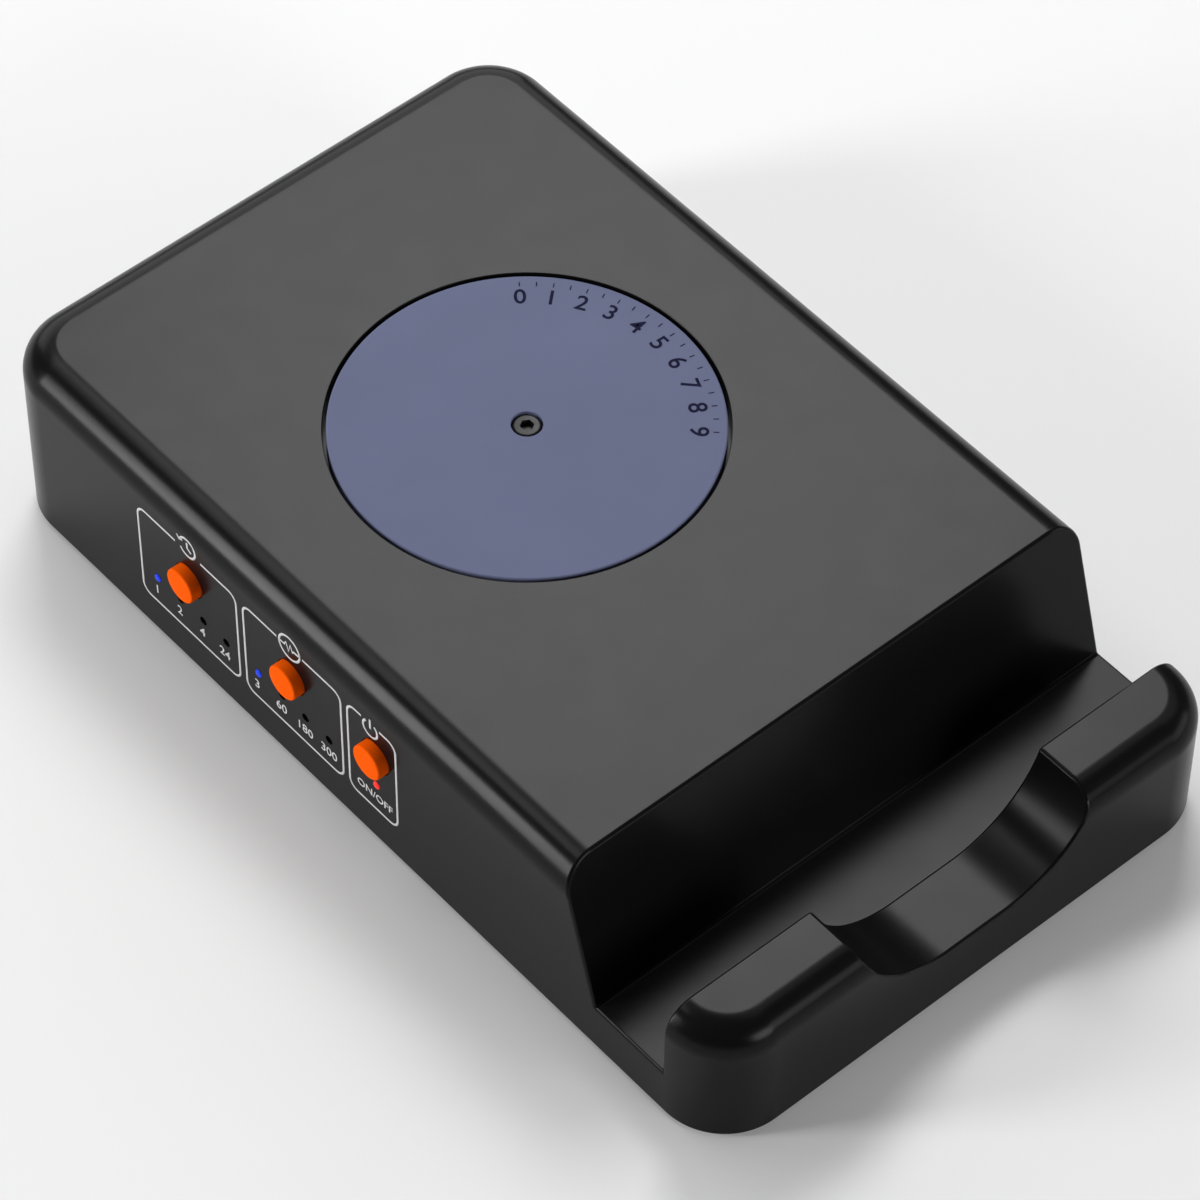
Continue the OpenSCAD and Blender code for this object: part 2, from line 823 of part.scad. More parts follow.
module motor_can() {
    h = plate_z - motor_low_z;
    color("silver") translate([0, motor_y, motor_low_z]) difference() {
        cylinder(d = can_d, h = h);
        translate([0, 0, can_t]) cylinder(r = can_in_r, h = h);
        translate([0, 0, -cut]) cylinder(d = rotor_shaft_d + 2 * run_gap, h = can_t + 2 * cut);
        translate([-lead_slot[0] / 2, 0, h / 2]) cube([lead_slot[0], can_d, lead_slot[1]]);
    }
}

module motor_plate() {
    color("silver") difference() {
        translate([0, motor_y, plate_z]) {
            cylinder(d = can_d, h = plate_t);
            stadium(ear_span + ear_w, ear_w, plate_t);
        }
        at_ears() translate([0, 0, plate_z - cut])
            cylinder(d = ear_hole_d, h = plate_t + 2 * cut);
        at_gear_pins() translate([0, 0, plate_z - cut])
            cylinder(d = pin_d + press_gap, h = plate_t + 2 * cut);
        translate([0, disc_y, plate_z - cut])
            cylinder(d = bush_neck_d + press_gap, h = plate_t + 2 * cut);
    }
}

module output_bush() {
    color("goldenrod") translate([0, disc_y, 0]) difference() {
        union() {
            translate([0, 0, plate_z]) cylinder(d = bush_neck_d, h = plate_t);
            translate([0, 0, motor_top_z]) cylinder(d = bush_d, h = bush_h);
        }
        translate([0, 0, plate_z - cut]) cylinder(d = shaft_d + 2 * run_gap,
            h = plate_t + bush_h + 2 * cut);
    }
}

// Four pressed yokes round the rotor, with their claws bent up or down
module stator_yokes() {
    steps = [0, yoke_t + coil_h, 2 * yoke_t + coil_h, 3 * yoke_t + 2 * coil_h];
    color("darkgray") translate([0, motor_y, stator_z]) for (i = [0:3]) {
        up = i % 2 == 0 ? 1 : -1;
        translate([0, 0, steps[i]]) {
            ring(2 * can_in_r - 2 * fit_gap, yoke_in_d, yoke_t);
            for (k = [0:claw_count - 1])
                rotate([0, 0, 360 / claw_count * (k + (up > 0 ? 0 : 0.5))])
                    translate([yoke_in_d / 2, -claw_w / 2, up > 0 ? yoke_t : claw_tip_gap - coil_h])
                        cube([claw_t, claw_w, coil_h - claw_tip_gap]);
        }
    }
}

module at_coils() {
    for (i = [0, 1])
        translate([0, motor_y, stator_z + yoke_t + i * (2 * yoke_t + coil_h)]) children();
}

module coil_bobbins() {
    color("white") at_coils() difference() {
        ring(bobbin_out_d, bobbin_in_d, coil_h);
        translate([0, 0, bobbin_t])
            ring(bobbin_out_d + cut, bobbin_in_d + 2 * bobbin_t, coil_h - 2 * bobbin_t);
    }
}

module coil_windings() {
    color("#b8692e") at_coils() translate([0, 0, bobbin_t])
        ring(bobbin_out_d - 2 * winding_inset, bobbin_in_d + 2 * bobbin_t, coil_h - 2 * bobbin_t);
}

module motor_screws() {
    color("silver") at_ears() translate([0, 0, plate_z]) rotate([180, 0, 0])
        pan_screw(motor_head_d, motor_head_h, motor_screw_d - 2 * fit_gap, plate_t + motor_screw_in);
}

module wire_cover() {
    color("#2f5fb0") difference() {
        translate([-cover_w / 2, motor_y, cover_z]) cube([cover_w, cover_y - motor_y, cover_h]);
        translate([0, motor_y, cover_z - cut])
            cylinder(r = can_d / 2 + press_gap, h = cover_h + 2 * cut);
        translate([-can_d, motor_y - can_d, cover_z - cut])
            cube([2 * can_d, can_d + cover_wrap, cover_h + 2 * cut]);
    }
}

// ---- Cables -----------------------------------------------------------------

// Plug over its header on the control board, long side along X
module plug(n) {
    w = n * wire_pitch + plug_side;
    translate([-w / 2, -plug_t / 2, board_top_z + header_floor])
        cube([w, plug_t, plug_h - header_floor]);
}

module header(n) {
    inner = [n * wire_pitch + plug_side + 4 * fit_gap, plug_t + 4 * fit_gap];
    outer = inner + 2 * [header_wall, header_wall];
    difference() {
        translate([-outer[0] / 2, -outer[1] / 2, board_top_z])
            cube([outer[0], outer[1], header_h]);
        translate([-inner[0] / 2, -inner[1] / 2, board_top_z + header_floor])
            cube([inner[0], inner[1], header_h]);
    }
}

module motor_wires() {
    color("#c43b2e") translate([0, cover_y, wire_z])
        wire_loom(motor_wire_n, wire_run, wire_drop);
}

module motor_plug() {
    color("white") translate([0, motor_plug_y, 0]) plug(motor_wire_n);
}

module motor_header() {
    color("ivory") translate([0, motor_plug_y, 0]) header(motor_wire_n);
}

module link_wires() {
    run = link_plug_x - wire_bend - (button_board_x + pcb_t + plug_h);
    color("#8a8a8a") translate([button_board_x + pcb_t + plug_h, link_y, link_z])
        rotate([0, 0, -90]) wire_loom(link_wire_n, run, wire_drop);
}

// Plug and header on the control board, and the same pair on the button board
module at_link_ends() {
    translate([link_plug_x, link_y, 0]) rotate([0, 0, 90]) children();
    translate([button_board_x + pcb_t - board_top_z, link_y, link_z])
        rotate([0, 90, 0]) rotate([0, 0, 90]) children();
}

module link_plugs() {
    color("white") at_link_ends() plug(link_wire_n);
}

module link_headers() {
    color("ivory") at_link_ends() header(link_wire_n);
}

// ---- Buttons and lights -----------------------------------------------------

// Cap with a collar inside the wall, its axis along X
module push_button(y) {
    stem = collar_x - left_x + button_out;
    r = button_d / 2;
    translate([left_x - button_out, y, button_z]) rotate([0, 90, 0]) {
        rotate_extrude() {
            polygon([[0, 0], [r - button_round, 0], [r - button_round, button_round],
                [r, button_round], [r, stem], [0, stem]]);
            translate([r - button_round, button_round]) intersection() {
                circle(button_round);
                translate([0, -button_round]) square(button_round);
            }
        }
        translate([0, 0, stem]) cylinder(d = collar_d, h = collar_t);
    }
}

module timer_button() {
    color("#ff6a00") push_button(timer_y);
}

module interval_button() {
    color("#ff6a00") push_button(interval_y);
}

module power_button() {
    color("#ff6a00") push_button(power_y);
}

module plunger(y) {
    translate([plunger_x, y, button_z]) rotate([0, 90, 0])
        cylinder(d = plunger_d, h = plunger_out + plunger_in);
}

module timer_plunger() {
    color("#222222") plunger(timer_y);
}

module interval_plunger() {
    color("#222222") plunger(interval_y);
}

module power_plunger() {
    color("#222222") plunger(power_y);
}

module switch_housings() {
    color("#2a2a2a") for (y = button_ys) difference() {
        translate([switch_x, y - switch_side / 2, button_z - switch_side / 2])
            cube([switch_h, switch_side, switch_side]);
        translate([switch_x - cut, y, button_z]) rotate([0, 90, 0])
            cylinder(d = plunger_d + 4 * fit_gap, h = plunger_in + switch_room + cut);
    }
}

module button_board() {
    color("#1f5a34") difference() {
        translate([button_board_x, board_front_y, button_board_z])
            cube([pcb_t, board_rear_y - board_front_y, button_board_h]);
        at_board_bosses() rotate([0, 90, 0]) translate([0, 0, -cut])
            cylinder(d = panel_screw_d + shank_play, h = pcb_t + 2 * cut);
    }
}

module button_board_screws() {
    color("silver") at_board_bosses() translate([pcb_t, 0, 0]) rotate([0, 90, 0])
        pan_screw(small_head_d, small_head_h, panel_screw_d - 2 * fit_gap, pcb_t + panel_screw_in);
}

module status_leds() {
    color("#f2f2e6") at_all_lights()
        translate([button_board_x - left_x - led_side[0], -led_side[1] / 2, -led_side[2] / 2])
            cube(led_side);
}

// Clear pins in the light holes, joined by a bar in front of the lamps
module light_pins() {
    translate([light_sink, 0, 0]) rotate([0, 90, 0])
        cylinder(d = light_d - 2 * fit_gap, h = wall - light_sink);
}

module light_bar(y_from, y_to) {
    depth = button_board_x - led_side[0] - guide_gap - wall_in_x;
    translate([wall_in_x, y_from, light_z - guide_bar / 2])
        cube([depth, y_to - y_from, guide_bar]);
}

module row_light_guide(y) {
    first = y + light_lead;
    last = first - (light_count - 1) * light_pitch;
    color("#dfe6ee") {
        at_lights(y) light_pins();
        light_bar(last - guide_bar / 2, first + guide_bar / 2);
    }
}

module timer_light_guide() {
    row_light_guide(timer_y);
}

module interval_light_guide() {
    row_light_guide(interval_y);
}

module power_light_guide() {
    color("#dfe6ee") {
        translate([left_x, power_y, light_z]) light_pins();
        light_bar(power_y - guide_bar / 2, power_y + guide_bar / 2);
    }
}

// ---- Control board ----------------------------------------------------------

module at_board_holes() {
    for (sx = [-1, 1], sy = [-1, 1])
        translate([sx * board_hole_x, board_mid_y + sy * board_hole_y, 0]) children();
}

module control_board() {
    color("#1f5a34") difference() {
        translate([-board_w / 2, board_mid_y - board_l / 2, board_z])
            cube([board_w, board_l, pcb_t]);
        at_board_holes() translate([0, 0, board_z - cut])
            cylinder(d = panel_screw_d + shank_play, h = pcb_t + 2 * cut);
    }
}

module control_board_screws() {
    color("silver") at_board_holes() translate([0, 0, board_top_z])
        pan_screw(small_head_d, small_head_h, panel_screw_d - 2 * fit_gap, pcb_t + board_screw_in);
}

// Motor driver and controller, each with two rows of legs
module chip(w, l, legs) {
    translate([-w / 2, -l / 2, chip_lift]) cube([w, l, chip_t]);
    for (s = [-1, 1], i = [0:legs - 1])
        translate([s * (w + leg_l) / 2 - leg_l / 2, (i - (legs - 1) / 2) * leg_pitch - leg_t / 2, 0])
            cube([leg_l, leg_t, leg_t]);
}

module driver_chips() {
    color("#1b1b1b") {
        translate([driver_at[0], board_mid_y + driver_at[1], board_top_z]) chip(chip_w, driver_l, driver_legs);
        translate([controller_at[0], board_mid_y + controller_at[1], board_top_z])
            rotate([0, 0, 90]) chip(chip_w, controller_l, controller_legs);
    }
}

module filter_capacitor() {
    color("#2b2f52") translate([capacitor_at[0], board_mid_y + capacitor_at[1], board_top_z]) {
        cylinder(d = capacitor_d, h = capacitor_h);
        translate([-capacitor_base / 2, -capacitor_base / 2, 0])
            cube([capacitor_base, capacitor_base, capacitor_base_t]);
    }
}

module usb_shell() {
    color("silver") translate([0, usb_mouth_y, usb_z]) rotate([90, 0, 0]) difference() {
        stadium(usb_w, usb_h, usb_l);
        translate([0, 0, -cut]) stadium(usb_w - 2 * usb_t, usb_h - 2 * usb_t,
            usb_l - usb_back_t + cut);
    }
}

module usb_tongue() {
    color("#1a1a1a") translate([-tongue[0] / 2, usb_mouth_y - usb_l + usb_back_t, usb_z - tongue[1] / 2])
        cube([tongue[0], usb_l - usb_back_t - usb_sink, tongue[1]]);
}

// ---- Parts ------------------------------------------------------------------

upper_case();
base_cover();
base_screws();
rubber_feet();
turntable_disc();
disc_screw();
output_shaft();
output_gear();
second_gear();
first_gear();
rotor_shaft();
rotor_magnet();
gear_pins();
gear_plate();
motor_can();
motor_plate();
output_bush();
stator_yokes();
coil_bobbins();
coil_windings();
motor_screws();
wire_cover();
motor_wires();
motor_plug();
motor_header();
timer_button();
interval_button();
power_button();
timer_plunger();
interval_plunger();
power_plunger();
switch_housings();
button_board();
button_board_screws();
status_leds();
timer_light_guide();
interval_light_guide();
power_light_guide();
control_board();
control_board_screws();
driver_chips();
filter_capacitor();
usb_shell();
usb_tongue();
link_wires();
link_plugs();
link_headers();
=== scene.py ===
"""The looks of a desk turntable that keeps an optical mouse moving."""
import math

import bmesh
import bpy
from mathutils import Matrix, Vector


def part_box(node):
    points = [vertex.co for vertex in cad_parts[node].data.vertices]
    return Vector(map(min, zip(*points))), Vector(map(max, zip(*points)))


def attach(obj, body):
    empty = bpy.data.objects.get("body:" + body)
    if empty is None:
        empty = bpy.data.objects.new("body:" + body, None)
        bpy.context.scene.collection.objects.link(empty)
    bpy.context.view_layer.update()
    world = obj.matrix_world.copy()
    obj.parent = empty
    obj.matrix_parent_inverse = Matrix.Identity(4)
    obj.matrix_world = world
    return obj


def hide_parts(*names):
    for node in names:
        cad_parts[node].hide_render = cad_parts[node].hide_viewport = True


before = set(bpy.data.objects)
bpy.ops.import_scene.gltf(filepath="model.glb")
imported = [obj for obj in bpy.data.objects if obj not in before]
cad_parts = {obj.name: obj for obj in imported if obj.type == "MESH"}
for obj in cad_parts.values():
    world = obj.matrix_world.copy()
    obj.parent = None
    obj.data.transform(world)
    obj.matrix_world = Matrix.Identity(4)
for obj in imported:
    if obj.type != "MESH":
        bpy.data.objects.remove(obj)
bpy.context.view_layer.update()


# ---- Studio ---------------------------------------------------------------------------
# A pale floor that runs out of view, soft lamps and the camera. The object stands free,
# seen from its front left corner and from well above.
MM = 0.001
camera_azimuth = math.radians(-41.258)
camera_elevation = math.radians(50.671)
camera_roll = math.radians(0.492)
camera_target = Vector((-2.625, -2.957, 12.6)) * MM
camera_distance = 674.18 * MM
camera_lens = 168.78
lamp_distance = 1.2
world_glow = 0.025
floor_white = 0.8
floor_glow = 0.08
floor_half = 6000


def direction(azimuth, elevation):
    """Unit vector from the object towards a place in the studio, as the camera's angles go."""
    flat = math.cos(elevation)
    return Vector((math.sin(azimuth) * flat, -math.cos(azimuth) * flat, math.sin(elevation)))


def aim(obj, back, target, distance, roll=0.0):
    """Stands obj at a distance from target, looking back at it."""
    turn = back.to_track_quat("Z", "Y").to_matrix().to_4x4()
    obj.matrix_world = (Matrix.Translation(target + back * distance) @ turn
                        @ Matrix.Rotation(roll, 4, "Z"))


view = bpy.data.cameras.new("studio_camera")
view.lens = camera_lens
view.sensor_width = 36
view.clip_start = 0.01
camera = bpy.data.objects.new("studio_camera", view)
bpy.context.scene.collection.objects.link(camera)
aim(camera, direction(camera_azimuth, camera_elevation), camera_target, camera_distance,
    camera_roll)
bpy.context.scene.camera = camera
bpy.context.scene.view_settings.view_transform = "Standard"

# Each lamp faces the object: its place in degrees, its size in metres, and how bright
# its face looks
for name, azimuth, elevation, width, height, radiance in [
        ("key_softbox", 139, 51, 0.44, 0.44, 11.7), ("rear_low", 156, 24, 1.35, 0.60, 2.4),
        ("top_bar", -163, 57, 0.75, 0.24, 5.5), ("right_softbox", 90, 58, 0.50, 0.80, 0.9),
        ("left_strip", -121, 17, 0.24, 0.64, 21.0), ("front_fill", 8, 19, 0.56, 0.42, 7.2),
        ("right_fill", 50, 15, 0.80, 0.40, 2.2)]:
    lamp = bpy.data.lights.new(name, "AREA")
    lamp.shape = "RECTANGLE"
    lamp.size = width
    lamp.size_y = height
    lamp.energy = radiance * math.pi * width * height
    softbox = bpy.data.objects.new(name, lamp)
    bpy.context.scene.collection.objects.link(softbox)
    aim(softbox, direction(math.radians(azimuth), math.radians(elevation)), camera_target,
        lamp_distance)


def feed(tree, node, inputs):
    """Sets a node's inputs to plain values, or links them to other nodes' outputs."""
    for key, value in inputs.items():
        if isinstance(value, bpy.types.NodeSocket):
            tree.links.new(value, node.inputs[key])
        else:
            node.inputs[key].default_value = value


def add_node(tree, kind, inputs, **settings):
    """New node of a kind; what comes back is its outputs."""
    node = tree.nodes.new(kind)
    for key, value in settings.items():
        setattr(node, key, value)
    feed(tree, node, inputs)
    return node.outputs


def worked(tree, operation, *values):
    """Outcome of one sum on sockets or plain numbers."""
    return add_node(tree, "ShaderNodeMath", dict(enumerate(values)), operation=operation)[0]


def new_material(name):
    """Empty material with its tree and a Principled shader."""
    material = bpy.data.materials.new(name)
    material.use_nodes = True
    tree = material.node_tree
    return material, tree, tree.nodes["Principled BSDF"]


world = bpy.data.worlds.new("studio_world")
bpy.context.scene.world = world
world.use_nodes = True
feed(world.node_tree, world.node_tree.nodes["Background"],
     {"Color": (1, 1, 1, 1), "Strength": world_glow})


def mesh_object(name, verts, faces, scale=1):
    """Mesh from plain lists, in millimetres unless a scale is given."""
    mesh = bpy.data.meshes.new(name)
    mesh.from_pydata([Vector(v) * scale for v in verts], [], faces)
    obj = bpy.data.objects.new(name, mesh)
    bpy.context.scene.collection.objects.link(obj)
    return obj


corners = [(-floor_half, -floor_half, 0), (floor_half, -floor_half, 0),
           (floor_half, floor_half, 0), (-floor_half, floor_half, 0)]
floor = mesh_object("studio_floor", corners, [(0, 1, 2, 3)], MM)
floor_paint, tree, paint = new_material("floor_paper")
feed(tree, paint, {"Base Color": (floor_white, floor_white, floor_white, 1), "Roughness": 0.9})
rays = add_node(tree, "ShaderNodeLightPath", {})
seen = worked(tree, "MAXIMUM", rays["Is Camera Ray"], rays["Is Glossy Ray"])
seen = worked(tree, "MAXIMUM", seen, rays["Is Transmission Ray"])
white = add_node(tree, "ShaderNodeEmission", {})
blend = add_node(tree, "ShaderNodeMixShader", {"Fac": worked(tree, "MULTIPLY", seen, floor_glow),
                                               1: paint.outputs[0], 2: white[0]})
feed(tree, tree.nodes["Material Output"], {"Surface": blend[0]})
floor.data.materials.append(floor_paint)


# ---- Case -----------------------------------------------------------------------------
# The upper case is one moulding in black ABS with a satin face. It holds the round well
# of the disc in its top, the phone slot with its leaning wall, and the lip with a notch.
case_low, case_high = [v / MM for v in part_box("upper_case")]
half_w = case_high.x
half_l = case_high.y
case_top = case_high.z
corner_r = 8.9
top_round = 4.5
wall = 2.2
top_t = 2.4
lip_top = 19.3
lip_round = 4.0
lip_t = 9.6
slot_w = 11.7
slot_floor = 8.0
slot_floor_t = 2.0
slot_lean = math.tan(math.radians(16))
notch_flat = 9.0
notch_r = 14.0
notch_low = 9.4
notch_reach = slot_w / 3
edge_round = 0.4
overshoot = 1.0
slot_front = lip_t - half_l
slot_back = slot_front + slot_w


def quarter_turn(steps):
    """Angles from nought to a right angle in even steps."""
    return [math.pi / 2 * i / steps for i in range(steps + 1)]


def arc(x, y, r, start, end, steps=24):
    """Points on a circle between two angles in degrees."""
    turns = [math.radians(start + (end - start) * i / steps) for i in range(steps + 1)]
    return [(x + r * math.cos(a), y + r * math.sin(a)) for a in turns]


def plan_outline(half_x, half_y, r, steps=24):
    """Points of a rectangle with round corners, anticlockwise."""
    points = []
    for k, (sx, sy) in enumerate([(1, 1), (-1, 1), (-1, -1), (1, -1)]):
        points += arc(sx * (half_x - r), sy * (half_y - r), r, 90 * k, 90 * k + 90, steps)
    return points


def rounded_block(name, half_x, half_y, r, z_low, z_high, fillet, steps=18):
    """Upright block with round corners and a rounded top edge, as stacked outlines."""
    levels = [(0.0, z_low)]
    for a in quarter_turn(steps):
        levels.append((fillet * (1 - math.cos(a)), z_high - fillet + fillet * math.sin(a)))
    verts, faces = [], []
    for inset, z in levels:
        ring = plan_outline(half_x - inset, half_y - inset, r - inset)
        verts += [(x, y, z) for x, y in ring]
    n = len(ring)
    for level in range(len(levels) - 1):
        for i in range(n):
            j = (i + 1) % n
            faces.append((level * n + i, level * n + j, (level + 1) * n + j, (level + 1) * n + i))
    faces.append(tuple(range(n - 1, -1, -1)))
    faces.append(tuple(range((len(levels) - 1) * n, len(levels) * n)))
    return mesh_object(name, verts, faces)


def prism(name, outline, low, high, axis):
    """Closed outline drawn along an axis: YZ points along X, XZ along Y or XY along Z."""
    def at(u, v, w):
        return {"X": (w, u, v), "Y": (u, w, v), "Z": (u, v, w)}[axis]
    n = len(outline)
    verts = [at(u, v, low) for u, v in outline] + [at(u, v, high) for u, v in outline]
    faces = [(i, (i + 1) % n, n + (i + 1) % n, n + i) for i in range(n)]
    faces += [tuple(range(n - 1, -1, -1)), tuple(range(n, 2 * n))]
    obj = mesh_object(name, verts, faces)
    tidy_normals(obj)
    return obj


def tidy_normals(obj, slivers=False):
    """Merges doubled points, drops slivers if told to, and turns every face outwards."""
    shape = bmesh.new()
    shape.from_mesh(obj.data)
    bmesh.ops.remove_doubles(shape, verts=shape.verts, dist=1e-5)
    if slivers:
        bmesh.ops.dissolve_degenerate(shape, edges=shape.edges, dist=1e-6)
    bmesh.ops.recalc_face_normals(shape, faces=shape.faces)
    shape.to_mesh(obj.data)
    shape.free()


def outcome(obj):
    """The mesh that an object's modifiers or letters make."""
    graph = bpy.context.evaluated_depsgraph_get()
    return bpy.data.meshes.new_from_object(obj.evaluated_get(graph))


def bake_modifiers(obj):
    """Turns an object's modifiers into its mesh."""
    mesh = outcome(obj)
    obj.modifiers.clear()
    obj.data = mesh


def combine(target, other, operation):
    """Adds other to target or cuts it away; other itself goes."""
    step = target.modifiers.new("combine", "BOOLEAN")
    step.operation = operation
    step.solver = "EXACT"
    step.object = other
    bake_modifiers(target)
    bpy.data.objects.remove(other)


def round_edges(obj, width, angle, clamp):
    """Rounds each edge where a mesh turns by more than an angle in degrees."""
    step = obj.modifiers.new("edges", "BEVEL")
    step.width = width
    step.segments = 3
    step.limit_method = "ANGLE"
    step.angle_limit = math.radians(angle)
    step.use_clamp_overlap = clamp
    bake_modifiers(obj)


def keep_side(obj, y, front):
    """Cuts a mesh across at y and keeps the half in front of it, or the half behind it."""
    shape = bmesh.new()
    shape.from_mesh(obj.data)
    bmesh.ops.bisect_plane(shape, geom=shape.verts[:] + shape.edges[:] + shape.faces[:],
                           dist=1e-6, plane_co=(0, y, 0), plane_no=(0, 1, 0),
                           clear_outer=front, clear_inner=not front)
    shape.to_mesh(obj.data)
    shape.free()


def slotted_block(name, half_x, half_y, r, z_low, rear, lip, floor_z, front_y, back_y):
    """The case's form: a tall block, a lower lip, and a slot between them with a leaning back.
    rear and lip are each a top and the rounding of its edge."""
    reach = 2 * half_x
    tall = rounded_block(name, half_x, half_y, r, z_low, rear[0], rear[1])
    up = rear[0] - floor_z + overshoot
    combine(tall, prism("slot", [(back_y, floor_z), (back_y + up * slot_lean, floor_z + up),
                                 (-2 * half_y, floor_z + up), (-2 * half_y, floor_z)],
                        -reach, reach, "X"), "DIFFERENCE")
    low = rounded_block(name + "_lip", half_x, half_y, r, z_low, lip[0], lip[1])
    combine(low, prism("slot", [(front_y, floor_z), (2 * half_y, floor_z),
                                (2 * half_y, lip[0] + overshoot), (front_y, lip[0] + overshoot)],
                       -reach, reach, "X"), "DIFFERENCE")
    seam = (front_y + back_y) / 2
    keep_side(tall, seam, False)
    keep_side(low, seam, True)
    shape = bmesh.new()
    shape.from_mesh(tall.data)
    shape.from_mesh(low.data)
    bmesh.ops.remove_doubles(shape, verts=shape.verts, dist=1e-4)
    bmesh.ops.dissolve_limit(shape, angle_limit=1e-3, verts=shape.verts, edges=shape.edges)
    bmesh.ops.recalc_face_normals(shape, faces=shape.faces)
    shape.to_mesh(tall.data)
    shape.free()
    bpy.data.objects.remove(low)
    return tall


def notch_cutter(margin):
    """The thumb notch through the lip: two round flanks and a flat bottom."""
    r, z = notch_r + margin, notch_low + notch_r
    right = arc(notch_flat / 2, z, r, 0, -90, 48)
    outline = right + [(-x, y) for x, y in reversed(right)]
    outline += [(-right[0][0], z + notch_r), (right[0][0], z + notch_r)]
    return prism("notch", outline, -half_l - overshoot, slot_front + notch_reach, "Y")


def lathe(name, profile, axis="Z", centre=(0, 0, 0), steps=96):
    """Closed solid of revolution from (radius, height) points that start and end on the axis
    or form a ring. The axis is Z, X or Y through centre."""
    verts, faces = [], []
    n = len(profile)
    for i in range(steps):
        a = 2 * math.pi * i / steps
        for radius, h in profile:
            u, v = radius * math.cos(a), radius * math.sin(a)
            x, y, z = {"Z": (u, v, h), "X": (h, u, v), "Y": (u, h, v)}[axis]
            verts.append((x + centre[0], y + centre[1], z + centre[2]))
    for i in range(steps):
        j = (i + 1) % steps
        for k in range(n):
            m = (k + 1) % n
            faces.append((i * n + k, j * n + k, j * n + m, i * n + m))
    obj = mesh_object(name, verts, faces)
    tidy_normals(obj, True)
    return obj


def rods(target, operation, centres, radius, low, high, axis="Z", steps=48):
    """Adds a round bar from low to high to a mesh at each centre, or drills it out."""
    profile = [(0, low), (radius, low), (radius, high), (0, high)]
    for centre in centres:
        combine(target, lathe("rod", profile, axis, centre, steps), operation)


def flared(name, centre, radius, low, high, flare, axis="Z", steps=96):
    """Round cutter whose mouth at high widens by a small rounding."""
    way = 1 if high > low else -1
    rim = [(radius + flare * (1 - math.cos(a)), high - way * flare + way * flare * math.sin(a))
           for a in quarter_turn(4)]
    far = high + way * overshoot
    profile = [(0, low), (radius, low)] + rim + [(radius + flare, far), (0, far)]
    return lathe(name, profile, axis, centre, steps)


shell = slotted_block("case_shell", half_w, half_l, corner_r, case_low.z, (case_top, top_round),
                      (lip_top, lip_round), slot_floor, slot_front, slot_back)
combine(shell, notch_cutter(0), "DIFFERENCE")
round_edges(shell, edge_round, 25, False)

room_back = slot_back + wall / math.cos(math.atan(slot_lean)) - slot_floor_t * slot_lean
room = slotted_block("room", half_w - wall, half_l - wall, corner_r - wall,
                     case_low.z - overshoot, (case_top - top_t, top_round - wall),
                     (lip_top - top_t, lip_round - wall), slot_floor - slot_floor_t,
                     slot_front - wall, room_back)
combine(room, notch_cutter(wall), "DIFFERENCE")
combine(shell, room, "DIFFERENCE")

# Posts and bosses inside, then the well, the holes and the mouth of the power socket
disc_low, disc_high = [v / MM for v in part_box("turntable_disc")]
disc_y = (disc_low.y + disc_high.y) / 2
well_r = 24.45
well_low = 24.4
well_wall = 1.8
well_flare = 0.12
pocket = 26.0
hub_hole_r = 5.0
base_top = 2.6
lap = 0.3
screw_x = 30.5
screw_ys = (-61.7, 57.1)
front_post_r = 2.8
rear_post_r = 3.25
post_pilot_r = 1.3
post_pilot_deep = 7.3
plate_low, plate_high = [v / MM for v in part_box("motor_plate")]
motor_y = (plate_low.y + plate_high.y) / 2
ear_x = 17.5
ear_boss_r = 3.3
ear_lap = 0.2
ear_pilot_r = 1.45
ear_pilot_deep = 3.3
board_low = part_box("button_board")[0] / MM
board_boss_r = 2.3
board_pilot_r = 1.0
board_pilot_deep = 3.3
wall_in = wall - half_w
button_z = 16.5
button_ys = {"timer_button": 28.8, "interval_button": 9.4, "power_button": -6.2}
button_hole_r = 2.52
button_hole_flare = 0.08
light_z = 11.1
light_pitch = 4.42
light_ys = {"timer": [35.25 - light_pitch * i for i in range(4)],
            "interval": [15.85 - light_pitch * i for i in range(4)],
            "power": [button_ys["power_button"]]}
light_hole_r = 0.6
light_hole_flare = 0.06
socket_z = 8.33
socket_half = (4.77, 1.93)
socket_r = 1.929
disc_centre = (0, disc_y, 0)
ears = [(s * ear_x, motor_y, 0) for s in (-1, 1)]
board_bosses = [(0, y, z) for y, z in ((-13.2, 18.0), (19.1, 18.0), (39.7, 18.0))]
posts = [((s * screw_x, y, 0), r, top) for s in (-1, 1)
         for y, r, top in ((screw_ys[1], rear_post_r, case_top - top_t),
                           (screw_ys[0], front_post_r, lip_top - top_t))]

for centre, r, top in posts:
    rods(shell, "UNION", [centre], r, base_top, top + lap)
rods(shell, "UNION", [disc_centre], well_r + well_wall, well_low, pocket + lap, steps=192)
rods(shell, "UNION", ears, ear_boss_r, plate_high.z, well_low + ear_lap)
rods(shell, "UNION", board_bosses, board_boss_r, wall_in - lap, board_low.x, "X")
combine(shell, flared("well", disc_centre, well_r, pocket, case_top, well_flare, steps=256),
        "DIFFERENCE")
rods(shell, "DIFFERENCE", [disc_centre], hub_hole_r, well_low - overshoot,
     pocket + overshoot, steps=96)
rods(shell, "DIFFERENCE", [centre for centre, r, top in posts], post_pilot_r,
     base_top - overshoot, base_top + post_pilot_deep)
rods(shell, "DIFFERENCE", ears, ear_pilot_r, plate_high.z - overshoot,
     plate_high.z + ear_pilot_deep)
rods(shell, "DIFFERENCE", board_bosses, board_pilot_r, board_low.x - board_pilot_deep,
     board_low.x + overshoot, "X")
